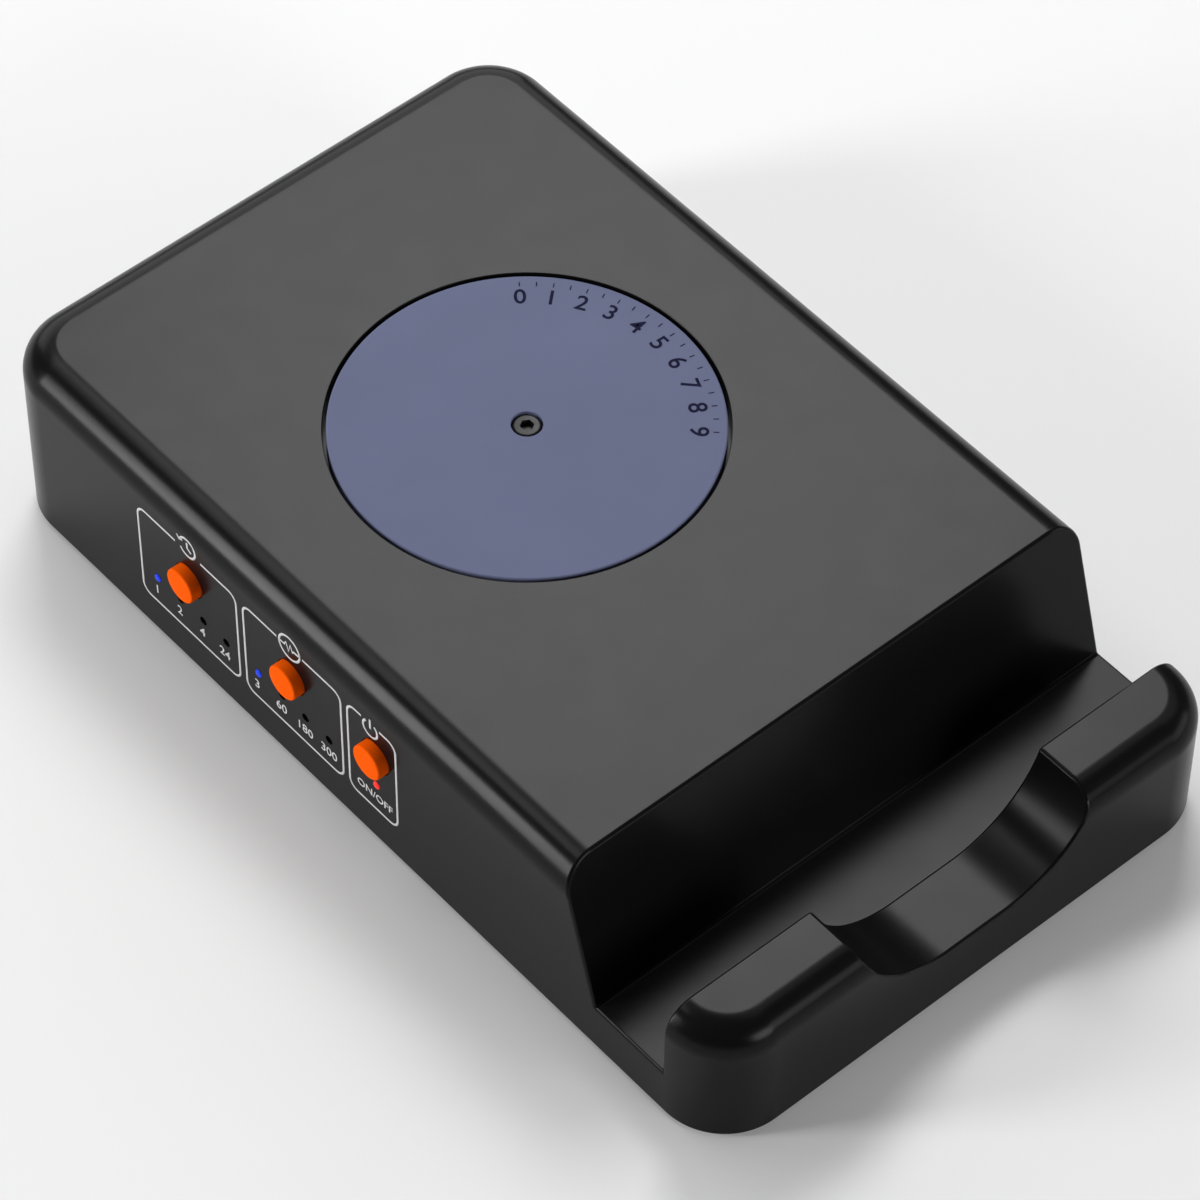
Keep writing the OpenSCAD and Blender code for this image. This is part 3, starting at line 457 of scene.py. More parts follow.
for y in button_ys.values():
    combine(shell, flared("hole", (0, y, button_z), button_hole_r, wall_in + overshoot, -half_w,
                          button_hole_flare, "X", 64), "DIFFERENCE")
for y in sum(light_ys.values(), []):
    combine(shell, flared("hole", (0, y, light_z), light_hole_r, wall_in + overshoot, -half_w,
                          light_hole_flare, "X", 32), "DIFFERENCE")
socket = [(x, y + socket_z) for x, y in plan_outline(*socket_half, socket_r, 12)]
combine(shell, prism("socket", socket, half_l - wall - overshoot, half_l + overshoot, "Y"),
        "DIFFERENCE")


def set_smooth(obj, sharp=30):
    """Smooth shading with sharp edges kept, its normals weighted by the faces' areas."""
    for face in obj.data.polygons:
        face.use_smooth = True
    obj.data.set_sharp_from_angle(angle=math.radians(sharp))
    even = obj.modifiers.new("even_normals", "WEIGHTED_NORMAL")
    even.keep_sharp = True
    even.weight = 100
    bake_modifiers(obj)


set_smooth(shell)


def noise(tree, scale, detail=2.0, stretch=(1, 1, 1)):
    """Noise on Object coordinates; scale is in features a metre."""
    place = add_node(tree, "ShaderNodeTexCoord", {})["Object"]
    lay = add_node(tree, "ShaderNodeMapping", {"Vector": place, "Scale": stretch})["Vector"]
    return add_node(tree, "ShaderNodeTexNoise",
                    {"Vector": lay, "Scale": scale, "Detail": detail})["Fac"]


def ranged(tree, value, low, high):
    """Spreads a 0.3 to 0.7 signal between two values."""
    return add_node(tree, "ShaderNodeMapRange", {
        "Value": value, "From Min": 0.3, "From Max": 0.7, "To Min": low, "To Max": high})["Result"]


def tinted(tree, value, first, second):
    """Colour between two, by a 0.3 to 0.7 signal."""
    return add_node(tree, "ShaderNodeMix", {
        "Factor": ranged(tree, value, 0, 1), "A": (*first, 1), "B": (*second, 1)},
        data_type="RGBA")["Result"]


def bumped(tree, height, depth_mm):
    """Surface raised by a height signal, depth_mm from its lowest to its highest."""
    return add_node(tree, "ShaderNodeBump", {
        "Height": height, "Distance": depth_mm * MM, "Strength": 1.0})["Normal"]


def moulded(name, colour, roughness, grain_mm, depth_mm, specular=0.5, spread=0.05, shade=0.08):
    """Moulded plastic or rubber: a fine texture from the mould, with faint uneven gloss."""
    material, tree, shader = new_material(name)
    shades = [[c * share for c in colour] for share in (1 - shade, 1 + shade)]
    feed(tree, shader, {
        "Base Color": tinted(tree, noise(tree, 60, 3), *shades),
        "Roughness": ranged(tree, noise(tree, 220, 4), roughness - spread, roughness + spread),
        "Normal": bumped(tree, noise(tree, 1 / (grain_mm * MM)), depth_mm),
        "Specular IOR Level": specular})
    return material


def fit(piece, body, material=None, stands_for=()):
    """Brings a piece from millimetres to metres, with its finish, onto its body."""
    piece.data.transform(Matrix.Scale(MM, 4))
    if material:
        piece.data.materials.clear()
        piece.data.materials.append(material)
    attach(piece, body)
    if stands_for:
        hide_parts(*stands_for)


case_plastic = moulded("case_plastic", (0.005, 0.005, 0.0052), 0.25, 0.35, 0.0005,
                       specular=0.108, spread=0.01, shade=0.04)
fit(shell, "case", case_plastic, ["upper_case"])


# ---- Panel print ----------------------------------------------------------------------
# Frames, small pictures and numbers round the buttons: one coat of off-white ink, pad
# printed on the left side. Each frame opens at its top for the picture of its button.
ink_out = 0.02
line_w = 0.34
frame_low = 6.4
frame_high = 22.0
frame_r = 1.4
label_z = 8.75
label_h = 1.45
word_h = 1.2615
label_weight = 0.015
letter_share = 0.7
# A drawing's own X runs along the left side from rear to front, its Y upwards
on_left_side = Matrix(((0, 0, -1, -half_w), (-1, 0, 0, 0), (0, 1, 0, 0), (0, 0, 0, 1)))


def new_tree(name, sizes):
    """Geometry Nodes tree with a named input for each size."""
    tree = bpy.data.node_groups.new(name, "GeometryNodeTree")
    tree.interface.new_socket("Geometry", in_out="INPUT", socket_type="NodeSocketGeometry")
    for label, value in sizes.items():
        kind = "NodeSocketInt" if isinstance(value, int) else "NodeSocketFloat"
        tree.interface.new_socket(label, in_out="INPUT", socket_type=kind)
    tree.interface.new_socket("Geometry", in_out="OUTPUT", socket_type="NodeSocketGeometry")
    return tree, add_node(tree, "NodeGroupInput", {})


def end_tree(tree, geometry, material):
    """Closes a tree: real copies, one material, out."""
    real = add_node(tree, "GeometryNodeRealizeInstances", {"Geometry": geometry})[0]
    made = add_node(tree, "GeometryNodeSetMaterial", {"Geometry": real, "Material": material})[0]
    add_node(tree, "NodeGroupOutput", {"Geometry": made})


def grow(obj, tree, sizes):
    """Runs a tree on an object with its sizes and keeps the outcome as its mesh."""
    step = obj.modifiers.new(tree.name, "NODES")
    step.node_group = tree
    for item in tree.interface.items_tree:
        if item.in_out == "INPUT" and item.name in sizes:
            step[item.identifier] = sizes[item.name]
    bake_modifiers(obj)
    tidy_normals(obj)
    return obj


def stroke_tree(name, material):
    """Sweeps a rectangle along every line of a drawing in the XY plane."""
    tree, given = new_tree(name, {"Width": 1.0, "Thickness": 1.0})
    path = add_node(tree, "GeometryNodeMeshToCurve", {"Mesh": given["Geometry"]})[0]
    upright = add_node(tree, "GeometryNodeSetCurveNormal", {"Curve": path}, mode="Z_UP")[0]
    section = add_node(tree, "GeometryNodeCurvePrimitiveQuadrilateral",
                       {"Width": given["Width"], "Height": given["Thickness"]})[0]
    sweep = add_node(tree, "GeometryNodeCurveToMesh",
                     {"Curve": upright, "Profile Curve": section, "Fill Caps": True})[0]
    end_tree(tree, sweep, material)
    return tree


def line_drawing(name, lines):
    """Mesh of bare edges from lists of points."""
    verts, edges = [], []
    for line in lines:
        edges += [(len(verts) + i, len(verts) + i + 1) for i in range(len(line) - 1)]
        verts += [(*p, 0) if len(p) == 2 else p for p in line]
    obj = mesh_object(name, [], [])
    obj.data.from_pydata(verts, edges, [])
    return obj


def open_frame(left, right, gap_left, gap_right):
    """Round-cornered frame that is open at its top between two places."""
    r = frame_r
    return ([(gap_left, frame_high)] + arc(left + r, frame_high - r, r, 90, 180, 6)
            + arc(left + r, frame_low + r, r, 180, 270, 6)
            + arc(right - r, frame_low + r, r, 270, 360, 6)
            + arc(right - r, frame_high - r, r, 0, 90, 6) + [(gap_right, frame_high)])


def lettering(text, height, weight):
    """Flat letters as a mesh, centred on the origin of the XY plane; weight thickens them."""
    words = bpy.data.curves.new("letters", "FONT")
    words.body = text
    words.align_x = "CENTER"
    words.align_y = "CENTER"
    words.size = height / letter_share
    words.extrude = ink_out
    words.offset = weight
    words.resolution_u = 4
    obj = bpy.data.objects.new("letters", words)
    bpy.context.scene.collection.objects.link(obj)
    mesh = outcome(obj)
    bpy.data.objects.remove(obj)
    return mesh


def taken(obj):
    """The mesh of a helper object, which itself goes."""
    mesh = obj.data
    bpy.data.objects.remove(obj)
    return mesh


def gathered(name, parts):
    """One object from meshes and the matrix that places each."""
    shape = bmesh.new()
    for mesh, place in parts:
        mesh.transform(place)
        shape.from_mesh(mesh)
    obj = mesh_object(name, [], [])
    shape.to_mesh(obj.data)
    shape.free()
    tidy_normals(obj)
    return obj


def printed(name, colour):
    """Ink coat: nearly even, a little thinner in places."""
    material, tree, shader = new_material(name)
    feed(tree, shader, {
        "Base Color": tinted(tree, noise(tree, 900, 3), [c * 0.9 for c in colour], colour),
        "Roughness": ranged(tree, noise(tree, 2500), 0.42, 0.58),
        "Normal": bumped(tree, noise(tree, 6000), 0.002),
        "Specular IOR Level": 0.03})
    return material


clock = (-28.6, 22.75)
pulse = (-9.4, 21.95)
power = (5.44, 21.0)
frames = [open_frame(-38.3, -19.5, -31.01, -26.15), open_frame(-18.2, 0.0, -11.8, -7.0),
          open_frame(1.2, 10.0, 3.8, 7.1)]
clock_lines = [arc(*clock, 1.5, 160, -150)] + [
    [(clock[0] + u, clock[1] + v) for u, v in line] for line in
    ([(-1.95, 0.95), (-1.5, 0.4), (-0.9, 0.75)], [(0.0, 0.95), (0.0, 0.0), (0.72, -0.45)])]
pulse_lines = [arc(*pulse, 1.9, 0, 360, 40), [(pulse[0] + u, pulse[1] + v) for u, v in
               [(-1.85, 0.0), (-0.95, 0.0), (-0.6, 0.7), (-0.2, -0.75), (0.2, 0.75), (0.55, -0.35),
                (0.8, 0.0), (1.85, 0.0)]]]
power_lines = [arc(*power, 1.3, 125, 415),
               [(power[0], power[1] + 0.1), (power[0], power[1] + 1.75)]]
ink_white = printed("ink_white", (0.66, 0.66, 0.67))
drawing = grow(line_drawing("lines", frames + clock_lines + pulse_lines + power_lines),
               stroke_tree("ink_lines", ink_white), {"Width": line_w, "Thickness": 2 * ink_out})
labels = [("1", -35.5), ("2", -31.1), ("4", -26.7), ("24", -22.4),
          ("3", -16.2), ("60", -11.6), ("180", -7.2), ("300", -2.7), ("ON/OFF", 5.85)]
inked = [(taken(drawing), on_left_side)]
for text, u in labels:
    height = label_h if text.isdigit() else word_h
    inked.append((lettering(text, height, label_weight),
                  on_left_side @ Matrix.Translation((u, label_z, 0))))
panel_print = gathered("panel_print", inked)
fit(panel_print, "case", ink_white)


# ---- Buttons --------------------------------------------------------------------------
# Three orange ABS caps, each pushed into its hole from inside until its collar meets the
# wall. Their faces are turned slightly round, with a small radius at the rim.
cap_r = 2.4
cap_round = 0.25
cap_crown = 0.07
collar_r = 3.3
collar_t = 0.8


def round_edge(r, face, size, way=-1, steps=6):
    """Profile points from a side of radius r round onto a face; way -1 has the side below."""
    return [(r - size + size * math.cos(a), face + way * size * (1 - math.sin(a)))
            for a in quarter_turn(steps)]


button_orange = moulded("button_orange", (1.0, 0.112, 0.0015), 0.5, 0.25, 0.0004, specular=0.01,
                        shade=0.03)
for name, y in button_ys.items():
    low, high = [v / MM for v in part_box(name)]
    crown = [(cap_r * k / 8, low.x + cap_crown * (k / 8) ** 2) for k in range(7)]
    rim = round_edge(cap_r, low.x + cap_crown, cap_round, 1)
    collar = [(cap_r, high.x - collar_t), (collar_r, high.x - collar_t), (collar_r, high.x),
              (0, high.x)]
    cap = lathe(name + "_cap", crown + rim[::-1] + collar, "X", (0, y, button_z), 72)
    set_smooth(cap)
    fit(cap, name, button_orange, [name])


def dress(material, *names):
    """Gives CAD nodes their finish."""
    for name in names:
        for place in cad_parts[name].material_slots:
            place.material = material


black_plastic = moulded("black_plastic", (0.02, 0.02, 0.021), 0.5, 0.15, 0.001, specular=0.4)
dress(black_plastic, "timer_plunger", "interval_plunger", "power_plunger")


# ---- Light guides ---------------------------------------------------------------------
# Clear acrylic bars behind the wall with a pin in each light hole. Every pin ends in a
# small round lens: the first light of each row shines blue and the power light red. The
# other lenses are painted near black, as painted shade of their dark holes.
lens_r = 0.56
lens_high = 0.2
lens_l = 0.5
lens_out = 0.2
lens_in = 0.28


def grid_tree(name, shape, material):
    """Copies of a shape from the origin, in columns along X and rows along Y."""
    tree, given = new_tree(name, {"Columns": 1, "Rows": 1, "Column pitch": 1.0,
                                  "Row pitch": 1.0})
    number = add_node(tree, "GeometryNodeInputIndex", {})[0]
    column = worked(tree, "MODULO", number, given["Columns"])
    row = worked(tree, "DIVIDE", worked(tree, "SUBTRACT", number, column), given["Columns"])
    place = add_node(tree, "ShaderNodeCombineXYZ", {
        "X": worked(tree, "MULTIPLY", column, given["Column pitch"]),
        "Y": worked(tree, "MULTIPLY", row, given["Row pitch"])})[0]
    count = worked(tree, "MULTIPLY", given["Columns"], given["Rows"])
    spots = add_node(tree, "GeometryNodePoints", {"Count": count, "Position": place})[0]
    pattern = add_node(tree, "GeometryNodeObjectInfo", {"Object": shape})["Geometry"]
    copies = add_node(tree, "GeometryNodeInstanceOnPoints", {"Points": spots, "Instance": pattern})
    end_tree(tree, copies[0], material)
    return tree


def in_grid(name, shape, material, counts, pitches, first):
    """One mesh of copies of a shape in a grid, the first of them at a point."""
    obj = mesh_object(name, [], [])
    grow(obj, grid_tree(name, shape, material), {
        "Columns": counts[0], "Rows": counts[1], "Column pitch": float(pitches[0]),
        "Row pitch": float(pitches[1])})
    obj.data.transform(Matrix.Translation(first))
    set_smooth(obj)
    return obj


def lens_finish(name, colour, glow):
    """Lens of tinted acrylic, lit from behind or not; a near-black colour paints the shade of an
    unlit hole.
    """
    material, tree, shader = new_material(name)
    feed(tree, shader, {
        "Base Color": tinted(tree, noise(tree, 2500), [c * 0.85 for c in colour], colour),
        "Roughness": ranged(tree, noise(tree, 4000), 0.12, 0.2),
        "Normal": bumped(tree, noise(tree, 5000), 0.001),
        "Specular IOR Level": 0.2, "Emission Color": (*colour, 1), "Emission Strength": glow})
    return material


dome = [(lens_r * math.sin(a), lens_high * (1 - math.cos(a))) for a in quarter_turn(8)]
lens = lathe("lens", dome + [(lens_r, lens_l), (0, lens_l)], "X", steps=24)
# Unlit lenses: a near-black colour that paints the shade inside their light holes
lens_painted_shade = lens_finish("lens_painted_shade", (0.006, 0.006, 0.008), 0.0)
lens_blue = lens_finish("lens_blue", (0.006, 0.03, 0.5), 0.8)
lens_red = lens_finish("lens_red", (0.62, 0.02, 0.015), 0.85)
for name, finish, count, y, x in [
        ("timer_light", lens_blue, 1, light_ys["timer"][0], -lens_out),
        ("interval_light", lens_blue, 1, light_ys["interval"][0], -lens_out),
        ("power_light", lens_red, 1, light_ys["power"][0], -lens_out),
        ("timer_dark_lights", lens_painted_shade, 3, light_ys["timer"][1], lens_in),
        ("interval_dark_lights", lens_painted_shade, 3, light_ys["interval"][1], lens_in)]:
    lenses = in_grid(name, lens, finish, (1, count), (0, -light_pitch),
                     (x - half_w, y, light_z))
    fit(lenses, "case")
bpy.data.objects.remove(lens)

light_acrylic, tree, shader = new_material("light_acrylic")
feed(tree, shader, {
    "Base Color": tinted(tree, noise(tree, 120), (0.8, 0.85, 0.9), (0.9, 0.94, 0.96)),
    "Roughness": ranged(tree, noise(tree, 500, 3), 0.05, 0.14),
    "Normal": bumped(tree, noise(tree, 900), 0.002),
    "Transmission Weight": 0.9, "IOR": 1.49})
dress(light_acrylic, "timer_light_guide", "interval_light_guide", "power_light_guide")


# ---- Button board ---------------------------------------------------------------------
# Green circuit board held on three bosses of the left wall by small screws. It carries
# the three switches under the caps and a white lamp behind each light hole.
def circuit_board(name, across):
    """Solder mask with the tracks under it showing as slightly raised, lighter lines."""
    material, tree, shader = new_material(name)
    place = add_node(tree, "ShaderNodeTexCoord", {})["Object"]
    lay = add_node(tree, "ShaderNodeMapping", {"Vector": place, "Rotation": across})[0]
    tracks = add_node(tree, "ShaderNodeTexBrick", {
        "Vector": lay, "Scale": 400, "Color1": (0.3, 0.3, 0.3, 1), "Color2": (0.4, 0.4, 0.4, 1),
        "Mortar": (0.7, 0.7, 0.7, 1), "Mortar Size": 0.03})["Color"]
    feed(tree, shader, {
        "Base Color": tinted(tree, tracks, (0.008, 0.085, 0.03), (0.02, 0.15, 0.06)),
        "Roughness": ranged(tree, noise(tree, 300, 3), 0.22, 0.36),
        "Normal": bumped(tree, tracks, 0.03)})
    return material


def metal(name, colour, roughness, stretch=(1, 1, 1), scale=900):
    """Plated, drawn or turned metal, its grain drawn out along one direction."""
    material, tree, shader = new_material(name)
    grain = noise(tree, scale, 3, stretch)
    feed(tree, shader, {
        "Base Color": tinted(tree, noise(tree, 150, 3), [c * 0.88 for c in colour], colour),
        "Roughness": ranged(tree, grain, roughness - 0.08, roughness + 0.08),
        "Normal": bumped(tree, grain, 0.002), "Metallic": 1.0})
    return material


side_board_mask = circuit_board("side_board_mask", (0, math.pi / 2, 0))
screw_zinc = metal("screw_zinc", (0.6, 0.6, 0.61), 0.32)
lamp_white = moulded("lamp_white", (0.82, 0.82, 0.73), 0.35, 0.2, 0.001)
dress(side_board_mask, "button_board")
dress(screw_zinc, "button_board_screws")
dress(black_plastic, "switch_housings")
dress(lamp_white, "status_leds")


# ---- Motor ----------------------------------------------------------------------------
# Geared stepper motor, hung by its two ears from bosses under the disc's well. Can, plate
# and yokes are tin-plated sheet, the bobbins nylon, each wound full of enamelled wire.
coil_spots = [(4.9, 7.8), (10.4, 13.3)]
coil_in_r = 6.35
coil_out_r = 12.6
coil_turns = 10


def winding(low, high):
    """Profile of a full bobbin: its outside shows the turns of the wire."""
    pitch = (high - low) / coil_turns
    outer = []
    for turn in range(coil_turns):
        middle = low + pitch * (turn + 0.5)
        outer += arc(coil_out_r - pitch / 2, middle, pitch / 2, -90, 90, 5)
    return [(coil_in_r, low)] + outer + [(coil_in_r, high)]


motor_tin = metal("motor_tin", (0.56, 0.55, 0.52), 0.36, (1, 1, 0.15), 700)
wire_copper = metal("wire_copper", (0.46, 0.15, 0.05), 0.3, (1, 1, 8))
bush_brass = metal("bush_brass", (0.72, 0.52, 0.23), 0.42, scale=1800)
nylon_white = moulded("nylon_white", (0.78, 0.77, 0.71), 0.48, 0.3, 0.002, shade=0.04)
cover_blue = moulded("cover_blue", (0.03, 0.1, 0.42), 0.4, 0.3, 0.002)
coils = gathered("wound_coils", [
    (taken(lathe("coil", winding(*spot), "Z", (0, motor_y, 0), 96)), Matrix())
    for spot in coil_spots])
set_smooth(coils, 60)
fit(coils, "case", wire_copper, ["coil_windings"])
dress(motor_tin, "motor_can", "motor_plate", "gear_plate", "stator_yokes")
dress(nylon_white, "coil_bobbins")
dress(bush_brass, "output_bush")
dress(screw_zinc, "motor_screws")
dress(cover_blue, "wire_cover")


# ---- Gear train -----------------------------------------------------------------------
# Rotor with its pinion, two nylon compound gears on steel pins, and a brass gear pressed
# on the flatted shaft that carries the disc. All turn between the two plates.
magnet_dark = moulded("magnet_dark", (0.055, 0.055, 0.06), 0.6, 0.2, 0.01)
shaft_steel = metal("shaft_steel", (0.58, 0.58, 0.59), 0.24, (1, 1, 6))
gear_brass = metal("gear_brass", (0.75, 0.55, 0.25), 0.34, scale=1200)
dress(magnet_dark, "rotor_magnet")
dress(shaft_steel, "rotor_shaft", "gear_pins", "output_shaft")
dress(nylon_white, "second_gear", "first_gear")
dress(gear_brass, "output_gear")


# ---- Turntable ------------------------------------------------------------------------
# The disc is slate blue ABS with a matt face, flush with the case's top. Its hub sits on
# the motor's flatted shaft and one dark screw in the middle holds it down.
disc_r = disc_high.x
rim_round = 0.25
hub_r = 4.5
bore_r = 2.55
bore_flat = 1.55
shaft_top = 26.3
disc_bottom = 26.4
recess_r = 1.95
recess_flare = 0.12
screw_seat = 27.2
screw_hole_r = 1.1

mouth = [(recess_r + recess_flare * (1 - math.sin(a)),
          disc_high.z - recess_flare * (1 - math.cos(a))) for a in quarter_turn(4)]
disc = lathe("disc", [(screw_hole_r, disc_low.z), (hub_r, disc_low.z), (hub_r, disc_bottom),
                      (disc_r, disc_bottom)] + round_edge(disc_r, disc_high.z, rim_round)
             + mouth + [(recess_r, screw_seat), (screw_hole_r, screw_seat)],
             centre=disc_centre, steps=256)
bore = [(x, max(-bore_flat, min(bore_flat, y)) + disc_y) for x, y in arc(0, 0, bore_r, 0, 352, 44)]
combine(disc, prism("bore", bore, disc_low.z - overshoot, shaft_top, "Z"), "DIFFERENCE")
set_smooth(disc)
disc_plastic = moulded("disc_plastic", (0.122, 0.135, 0.222), 0.6, 0.3, 0.0015, specular=0.04,
                       shade=0.03)
fit(disc, "turntable", disc_plastic, ["turntable_disc"])

# Numerals and ticks of a plain scale, printed dark along part of the rim
numeral_r = 20.45
numeral_h = 2.3
numeral_weight = 0.035
numeral_n = 10
scale_from = 52.0
scale_step = -96 / 9
tick_r = 22.6
tick_l = 0.7
tick_w = 0.14


def ring_tree(name, material):
    """Thin bars round a circle in the XY plane, each pointing at its centre."""
    tree, given = new_tree(name, {"Count": 1, "Radius": 1.0, "Start": 0.0, "Step": 1.0,
                                  "Length": 1.0, "Width": 1.0, "Thickness": 1.0})
    number = add_node(tree, "GeometryNodeInputIndex", {})[0]
    turn = worked(tree, "MULTIPLY_ADD", number, given["Step"], given["Start"])
    across, along = [worked(tree, "MULTIPLY", worked(tree, operation, turn), given["Radius"])
                     for operation in ("COSINE", "SINE")]
    place = add_node(tree, "ShaderNodeCombineXYZ", {"X": across, "Y": along})[0]
    spots = add_node(tree, "GeometryNodePoints", {"Count": given["Count"], "Position": place})[0]
    size = add_node(tree, "ShaderNodeCombineXYZ", {
        "X": given["Length"], "Y": given["Width"], "Z": given["Thickness"]})[0]
    bar = add_node(tree, "GeometryNodeMeshCube", {"Size": size})["Mesh"]
    facing = add_node(tree, "ShaderNodeCombineXYZ", {"Z": turn})[0]
    copies = add_node(tree, "GeometryNodeInstanceOnPoints",
                      {"Points": spots, "Instance": bar, "Rotation": facing})[0]
    end_tree(tree, copies, material)
    return tree


ink_navy = printed("ink_navy", (0.006, 0.006, 0.03))
ticks = grow(mesh_object("ticks", [], []), ring_tree("scale_ticks", ink_navy), {
    "Count": 2 * numeral_n - 1, "Radius": tick_r, "Start": math.radians(scale_from),
    "Step": math.radians(scale_step / 2), "Length": tick_l, "Width": tick_w,
    "Thickness": 2 * ink_out})
disc_face = Matrix.Translation((0, disc_y, disc_high.z))
inked = [(taken(ticks), disc_face)]
for i in range(numeral_n):
    turn = math.radians(scale_from + scale_step * i - 90)
    inked.append((lettering(str(i), numeral_h, numeral_weight),
                  disc_face @ Matrix.Rotation(turn, 4, "Z")
                  @ Matrix.Translation((0, numeral_r, 0))))
disc_print = gathered("disc_print", inked)
fit(disc_print, "turntable", ink_navy)

# The screw: a low round head with a hexagon socket
head_r = 1.75
head_round = 0.3
shank_r = 1.0
hexagon_r = 0.92
hexagon_deep = 0.75
screw_low, screw_high = [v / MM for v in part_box("disc_screw")]
screw = lathe("disc_screw_head", [(0, screw_low.z), (shank_r, screw_low.z), (shank_r, screw_seat),
              (head_r, screw_seat)] + round_edge(head_r, screw_high.z, head_round)
              + [(0, screw_high.z)], centre=disc_centre, steps=64)
combine(screw, prism("hexagon", arc(0, disc_y, hexagon_r, 30, 330, 5),
                     screw_high.z - hexagon_deep, screw_high.z + overshoot, "Z"), "DIFFERENCE")
set_smooth(screw)
screw_black = moulded("screw_black", (0.014, 0.014, 0.015), 0.34, 0.1, 0.002, specular=0.15)
fit(screw, "turntable", screw_black, ["disc_screw"])


# ---- Cables ---------------------------------------------------------------------------
# Two short looms: five coloured wires from the motor to its plug, and four grey ones from
# the control board to the button board. Each wire is PVC over strands, in a nylon plug.
wire_r = 0.5
wire_bend = 2.5
wire_pitch = 2.0
wire_drop = 0.8
wire_z = 18.0


def wire_path(start, ahead, side, count, run):
    """Middle lines of a flat loom that runs out of start, bends down and enters a plug."""
    start, ahead, side = Vector(start), Vector(ahead), Vector(side)
    lines = []
    for i in range(count):
        base = start + side * wire_pitch * (i - (count - 1) / 2)
        centre = base + ahead * run - Vector((0, 0, wire_bend))
        bend = [centre + ahead * wire_bend * math.sin(a) + Vector((0, 0, wire_bend * math.cos(a)))
                for a in quarter_turn(10)]
        lines.append([tuple(p) for p in [base] + bend + [bend[-1] - Vector((0, 0, wire_drop))]])
    return lines


def wire_tree(name, material):
    """Round wire along every line."""
    tree, given = new_tree(name, {"Radius": 1.0, "Sides": 8})
    path = add_node(tree, "GeometryNodeMeshToCurve", {"Mesh": given["Geometry"]})[0]
    section = add_node(tree, "GeometryNodeCurvePrimitiveCircle",
                       {"Resolution": given["Sides"], "Radius": given["Radius"]})[0]
    sweep = add_node(tree, "GeometryNodeCurveToMesh",
                     {"Curve": path, "Profile Curve": section, "Fill Caps": True})[0]
    end_tree(tree, sweep, material)
    return tree


def wire_pvc(name, bands, axis, low, high):
    """Smooth PVC; the colour goes by the wire's place in the loom."""
    material, tree, shader = new_material(name)
    place = add_node(tree, "ShaderNodeTexCoord", {})["Object"]
    parts = add_node(tree, "ShaderNodeSeparateXYZ", {"Vector": place})
    along = add_node(tree, "ShaderNodeMapRange", {
        "Value": parts[axis], "From Min": low * MM, "From Max": high * MM})["Result"]
    stripes = tree.nodes.new("ShaderNodeValToRGB")
    stripes.color_ramp.interpolation = "CONSTANT"
    stops = stripes.color_ramp.elements
    for i, band in enumerate(bands):
        stop = stops[i] if i < 2 else stops.new(i / len(bands))
        stop.position = i / len(bands)
        stop.color = (*band, 1)
    feed(tree, stripes, {"Fac": along})
    feed(tree, shader, {"Base Color": stripes.outputs["Color"],
                        "Roughness": ranged(tree, noise(tree, 700, 3), 0.3, 0.45),
                        "Normal": bumped(tree, noise(tree, 1500), 0.01)})
    return material


motor_low, motor_high = [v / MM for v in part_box("motor_wires")]
link_low, link_high = [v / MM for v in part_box("link_wires")]
half_loom = 2.5 * wire_pitch
motor_pvc = wire_pvc("motor_pvc", [(0.03, 0.1, 0.5), (0.75, 0.2, 0.3), (0.8, 0.6, 0.03),
                                   (0.8, 0.2, 0.01), (0.5, 0.02, 0.015)], "X",
                     -half_loom, half_loom)
link_pvc = wire_pvc("link_pvc", [(0.22, 0.22, 0.23), (0.27, 0.27, 0.28)], "Y",
                    link_low.y, link_high.y)
looms = [("motor_loom", motor_pvc, "motor_wires", "wire_skin",
          wire_path((0, motor_low.y, wire_z), (0, 1, 0), (1, 0, 0), 5,
                    motor_high.y - motor_low.y - wire_bend - wire_r)),
         ("link_loom", link_pvc, "link_wires", "link_skin",
          wire_path((link_low.x, (link_low.y + link_high.y) / 2, wire_z), (1, 0, 0), (0, 1, 0),
                    4, link_high.x - link_low.x - wire_bend - wire_r))]
for name, skin, node, slot, lines in looms:
    loom = grow(line_drawing(name, lines), wire_tree(name, skin), {"Radius": wire_r, "Sides": 12})
    set_smooth(loom, 50)
    fit(loom, "case", None, [node])
dress(nylon_white, "motor_plug", "motor_header", "link_plugs", "link_headers")


# ---- Control board --------------------------------------------------------------------
# Green board on four posts of the base cover, with the motor driver, the controller, a
# capacitor and the power socket, whose mouth meets the hole in the rear wall.
main_board_mask = circuit_board("main_board_mask", (0, 0, 0))
chip_black = moulded("chip_black", (0.015, 0.015, 0.016), 0.45, 0.12, 0.003)
sleeve_navy = moulded("sleeve_navy", (0.02, 0.025, 0.08), 0.3, 0.5, 0.001)
socket_steel = metal("socket_steel", (0.6, 0.6, 0.6), 0.28, (1, 0.2, 1), 1200)
contact_gold = metal("contact_gold", (0.8, 0.55, 0.2), 0.25, (1, 0.3, 1), 2500)
dress(main_board_mask, "control_board")
dress(screw_zinc, "control_board_screws")
dress(chip_black, "driver_chips")
dress(sleeve_navy, "filter_capacitor")
dress(socket_steel, "usb_shell")
dress(black_plastic, "usb_tongue")

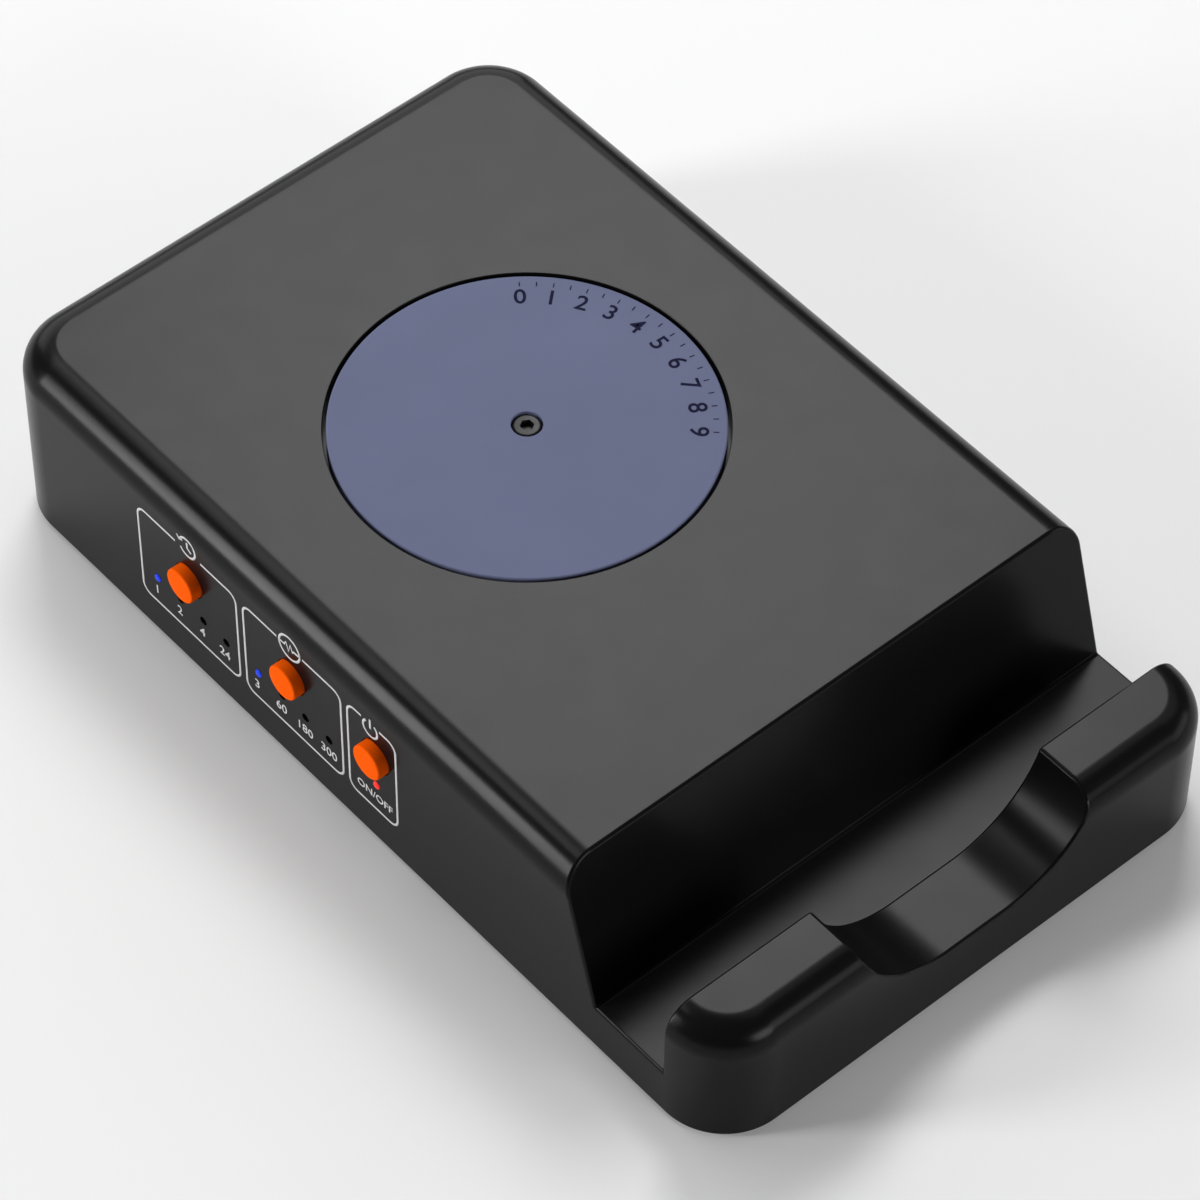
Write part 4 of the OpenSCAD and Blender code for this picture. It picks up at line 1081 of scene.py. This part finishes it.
contact_n = 12
contact_pitch = 0.5
contact_w = 0.25
contact_out = 0.03
contact_short = 0.5
tongue_low, tongue_high = [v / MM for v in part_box("usb_tongue")]
bars = gathered("contact", [
    (taken(prism("bar", [(sx * contact_w / 2, z + sz * contact_out)
                         for sx, sz in ((-1, -1), (1, -1), (1, 1), (-1, 1))],
                 tongue_low.y, tongue_high.y - contact_short, "Y")), Matrix())
    for z in (tongue_low.z, tongue_high.z)])
contacts = in_grid("socket_contacts", bars, contact_gold, (contact_n, 1), (contact_pitch, 0),
                   (-contact_pitch * (contact_n - 1) / 2, 0, 0))
bpy.data.objects.remove(bars)
fit(contacts, "case")


# ---- Base cover -----------------------------------------------------------------------
# Flat cover of textured black ABS that closes the case from below, with four posts for
# the control board. Four countersunk screws hold it and four rubber feet are glued in.
base_low, base_high = [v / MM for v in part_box("base_cover")]
base_r = corner_r - (half_w - base_high.x)
base_round = 0.3
board_posts = [(x, y, 0) for x in (-21, 21) for y in (44.6, 60.6)]
feet_low, feet_high = [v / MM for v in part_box("rubber_feet")]
foot_r = 5.0
foot_x = feet_high.x - foot_r
foot_ys = (feet_low.y + foot_r, feet_high.y - foot_r)
foot_room = 0.1
head_room = 0.1
shank_room = 0.15
base_head_r = 2.3
base_head_h = 1.2
base_shank_r = 1.25

cover = prism("base_plate", plan_outline(base_high.x, base_high.y, base_r), base_low.z, base_top,
              "Z")
round_edges(cover, base_round, 40, True)
rods(cover, "UNION", board_posts, board_boss_r, base_top - lap, base_high.z)
rods(cover, "DIFFERENCE", board_posts, board_pilot_r, base_high.z - board_pilot_deep,
     base_high.z + overshoot)
mouth_r, throat_r = base_head_r + head_room, base_shank_r + shank_room
sink = [(0, base_low.z - overshoot), (mouth_r, base_low.z - overshoot), (mouth_r, base_low.z),
        (throat_r, base_low.z + base_head_h), (throat_r, base_top + overshoot),
        (0, base_top + overshoot)]
for s in (-1, 1):
    rods(cover, "DIFFERENCE", [(s * foot_x, y, 0) for y in foot_ys], foot_r + foot_room,
         base_low.z - overshoot, feet_high.z, steps=64)
    for y in screw_ys:
        combine(cover, lathe("countersink", sink, centre=(s * screw_x, y, 0), steps=64),
                "DIFFERENCE")
set_smooth(cover)
base_plastic = moulded("base_plastic", (0.02, 0.02, 0.021), 0.55, 0.5, 0.02, specular=0.35)
fit(cover, "case", base_plastic, ["base_cover"])

# Countersunk screws, heads down, each with a cross recess
head_sink = 0.02
head_chamfer = 0.1
cross_half = 1.3
cross_w = 0.22
cross_deep = 0.8
screw_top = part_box("base_screws")[1].z / MM
head_z = base_low.z + head_sink
cover_screw = lathe("cover_screw", [
    (0, head_z), (base_head_r - head_chamfer, head_z), (base_head_r, head_z + head_chamfer),
    (base_shank_r, base_low.z + base_head_h), (base_shank_r, screw_top), (0, screw_top)], steps=48)
arm = [(cross_half, -cross_w), (cross_half, cross_w), (cross_w, cross_w)]
cross = [(u * c - v * s, u * s + v * c)
         for c, s in ((1, 0), (0, 1), (-1, 0), (0, -1)) for u, v in arm]
combine(cover_screw, prism("recess", cross, base_low.z - overshoot, base_low.z + cross_deep, "Z"),
        "DIFFERENCE")
screws = in_grid("cover_screws", cover_screw, screw_zinc, (2, 2),
                 (2 * screw_x, screw_ys[1] - screw_ys[0]), (-screw_x, screw_ys[0], 0))
bpy.data.objects.remove(cover_screw)
fit(screws, "case", None, ["base_screws"])

# Rubber feet with rounded soles
foot_round = 0.4
foot = lathe("foot", [(0, feet_high.z), (foot_r, feet_high.z)]
             + round_edge(foot_r, 0, foot_round, 1) + [(0, 0)], steps=64)
rubber = moulded("rubber_black", (0.018, 0.018, 0.018), 0.75, 0.3, 0.02, specular=0.3)
feet = in_grid("feet", foot, rubber, (2, 2), (2 * foot_x, foot_ys[1] - foot_ys[0]),
               (-foot_x, foot_ys[0], 0))
bpy.data.objects.remove(foot)
fit(feet, "case", None, ["rubber_feet"])
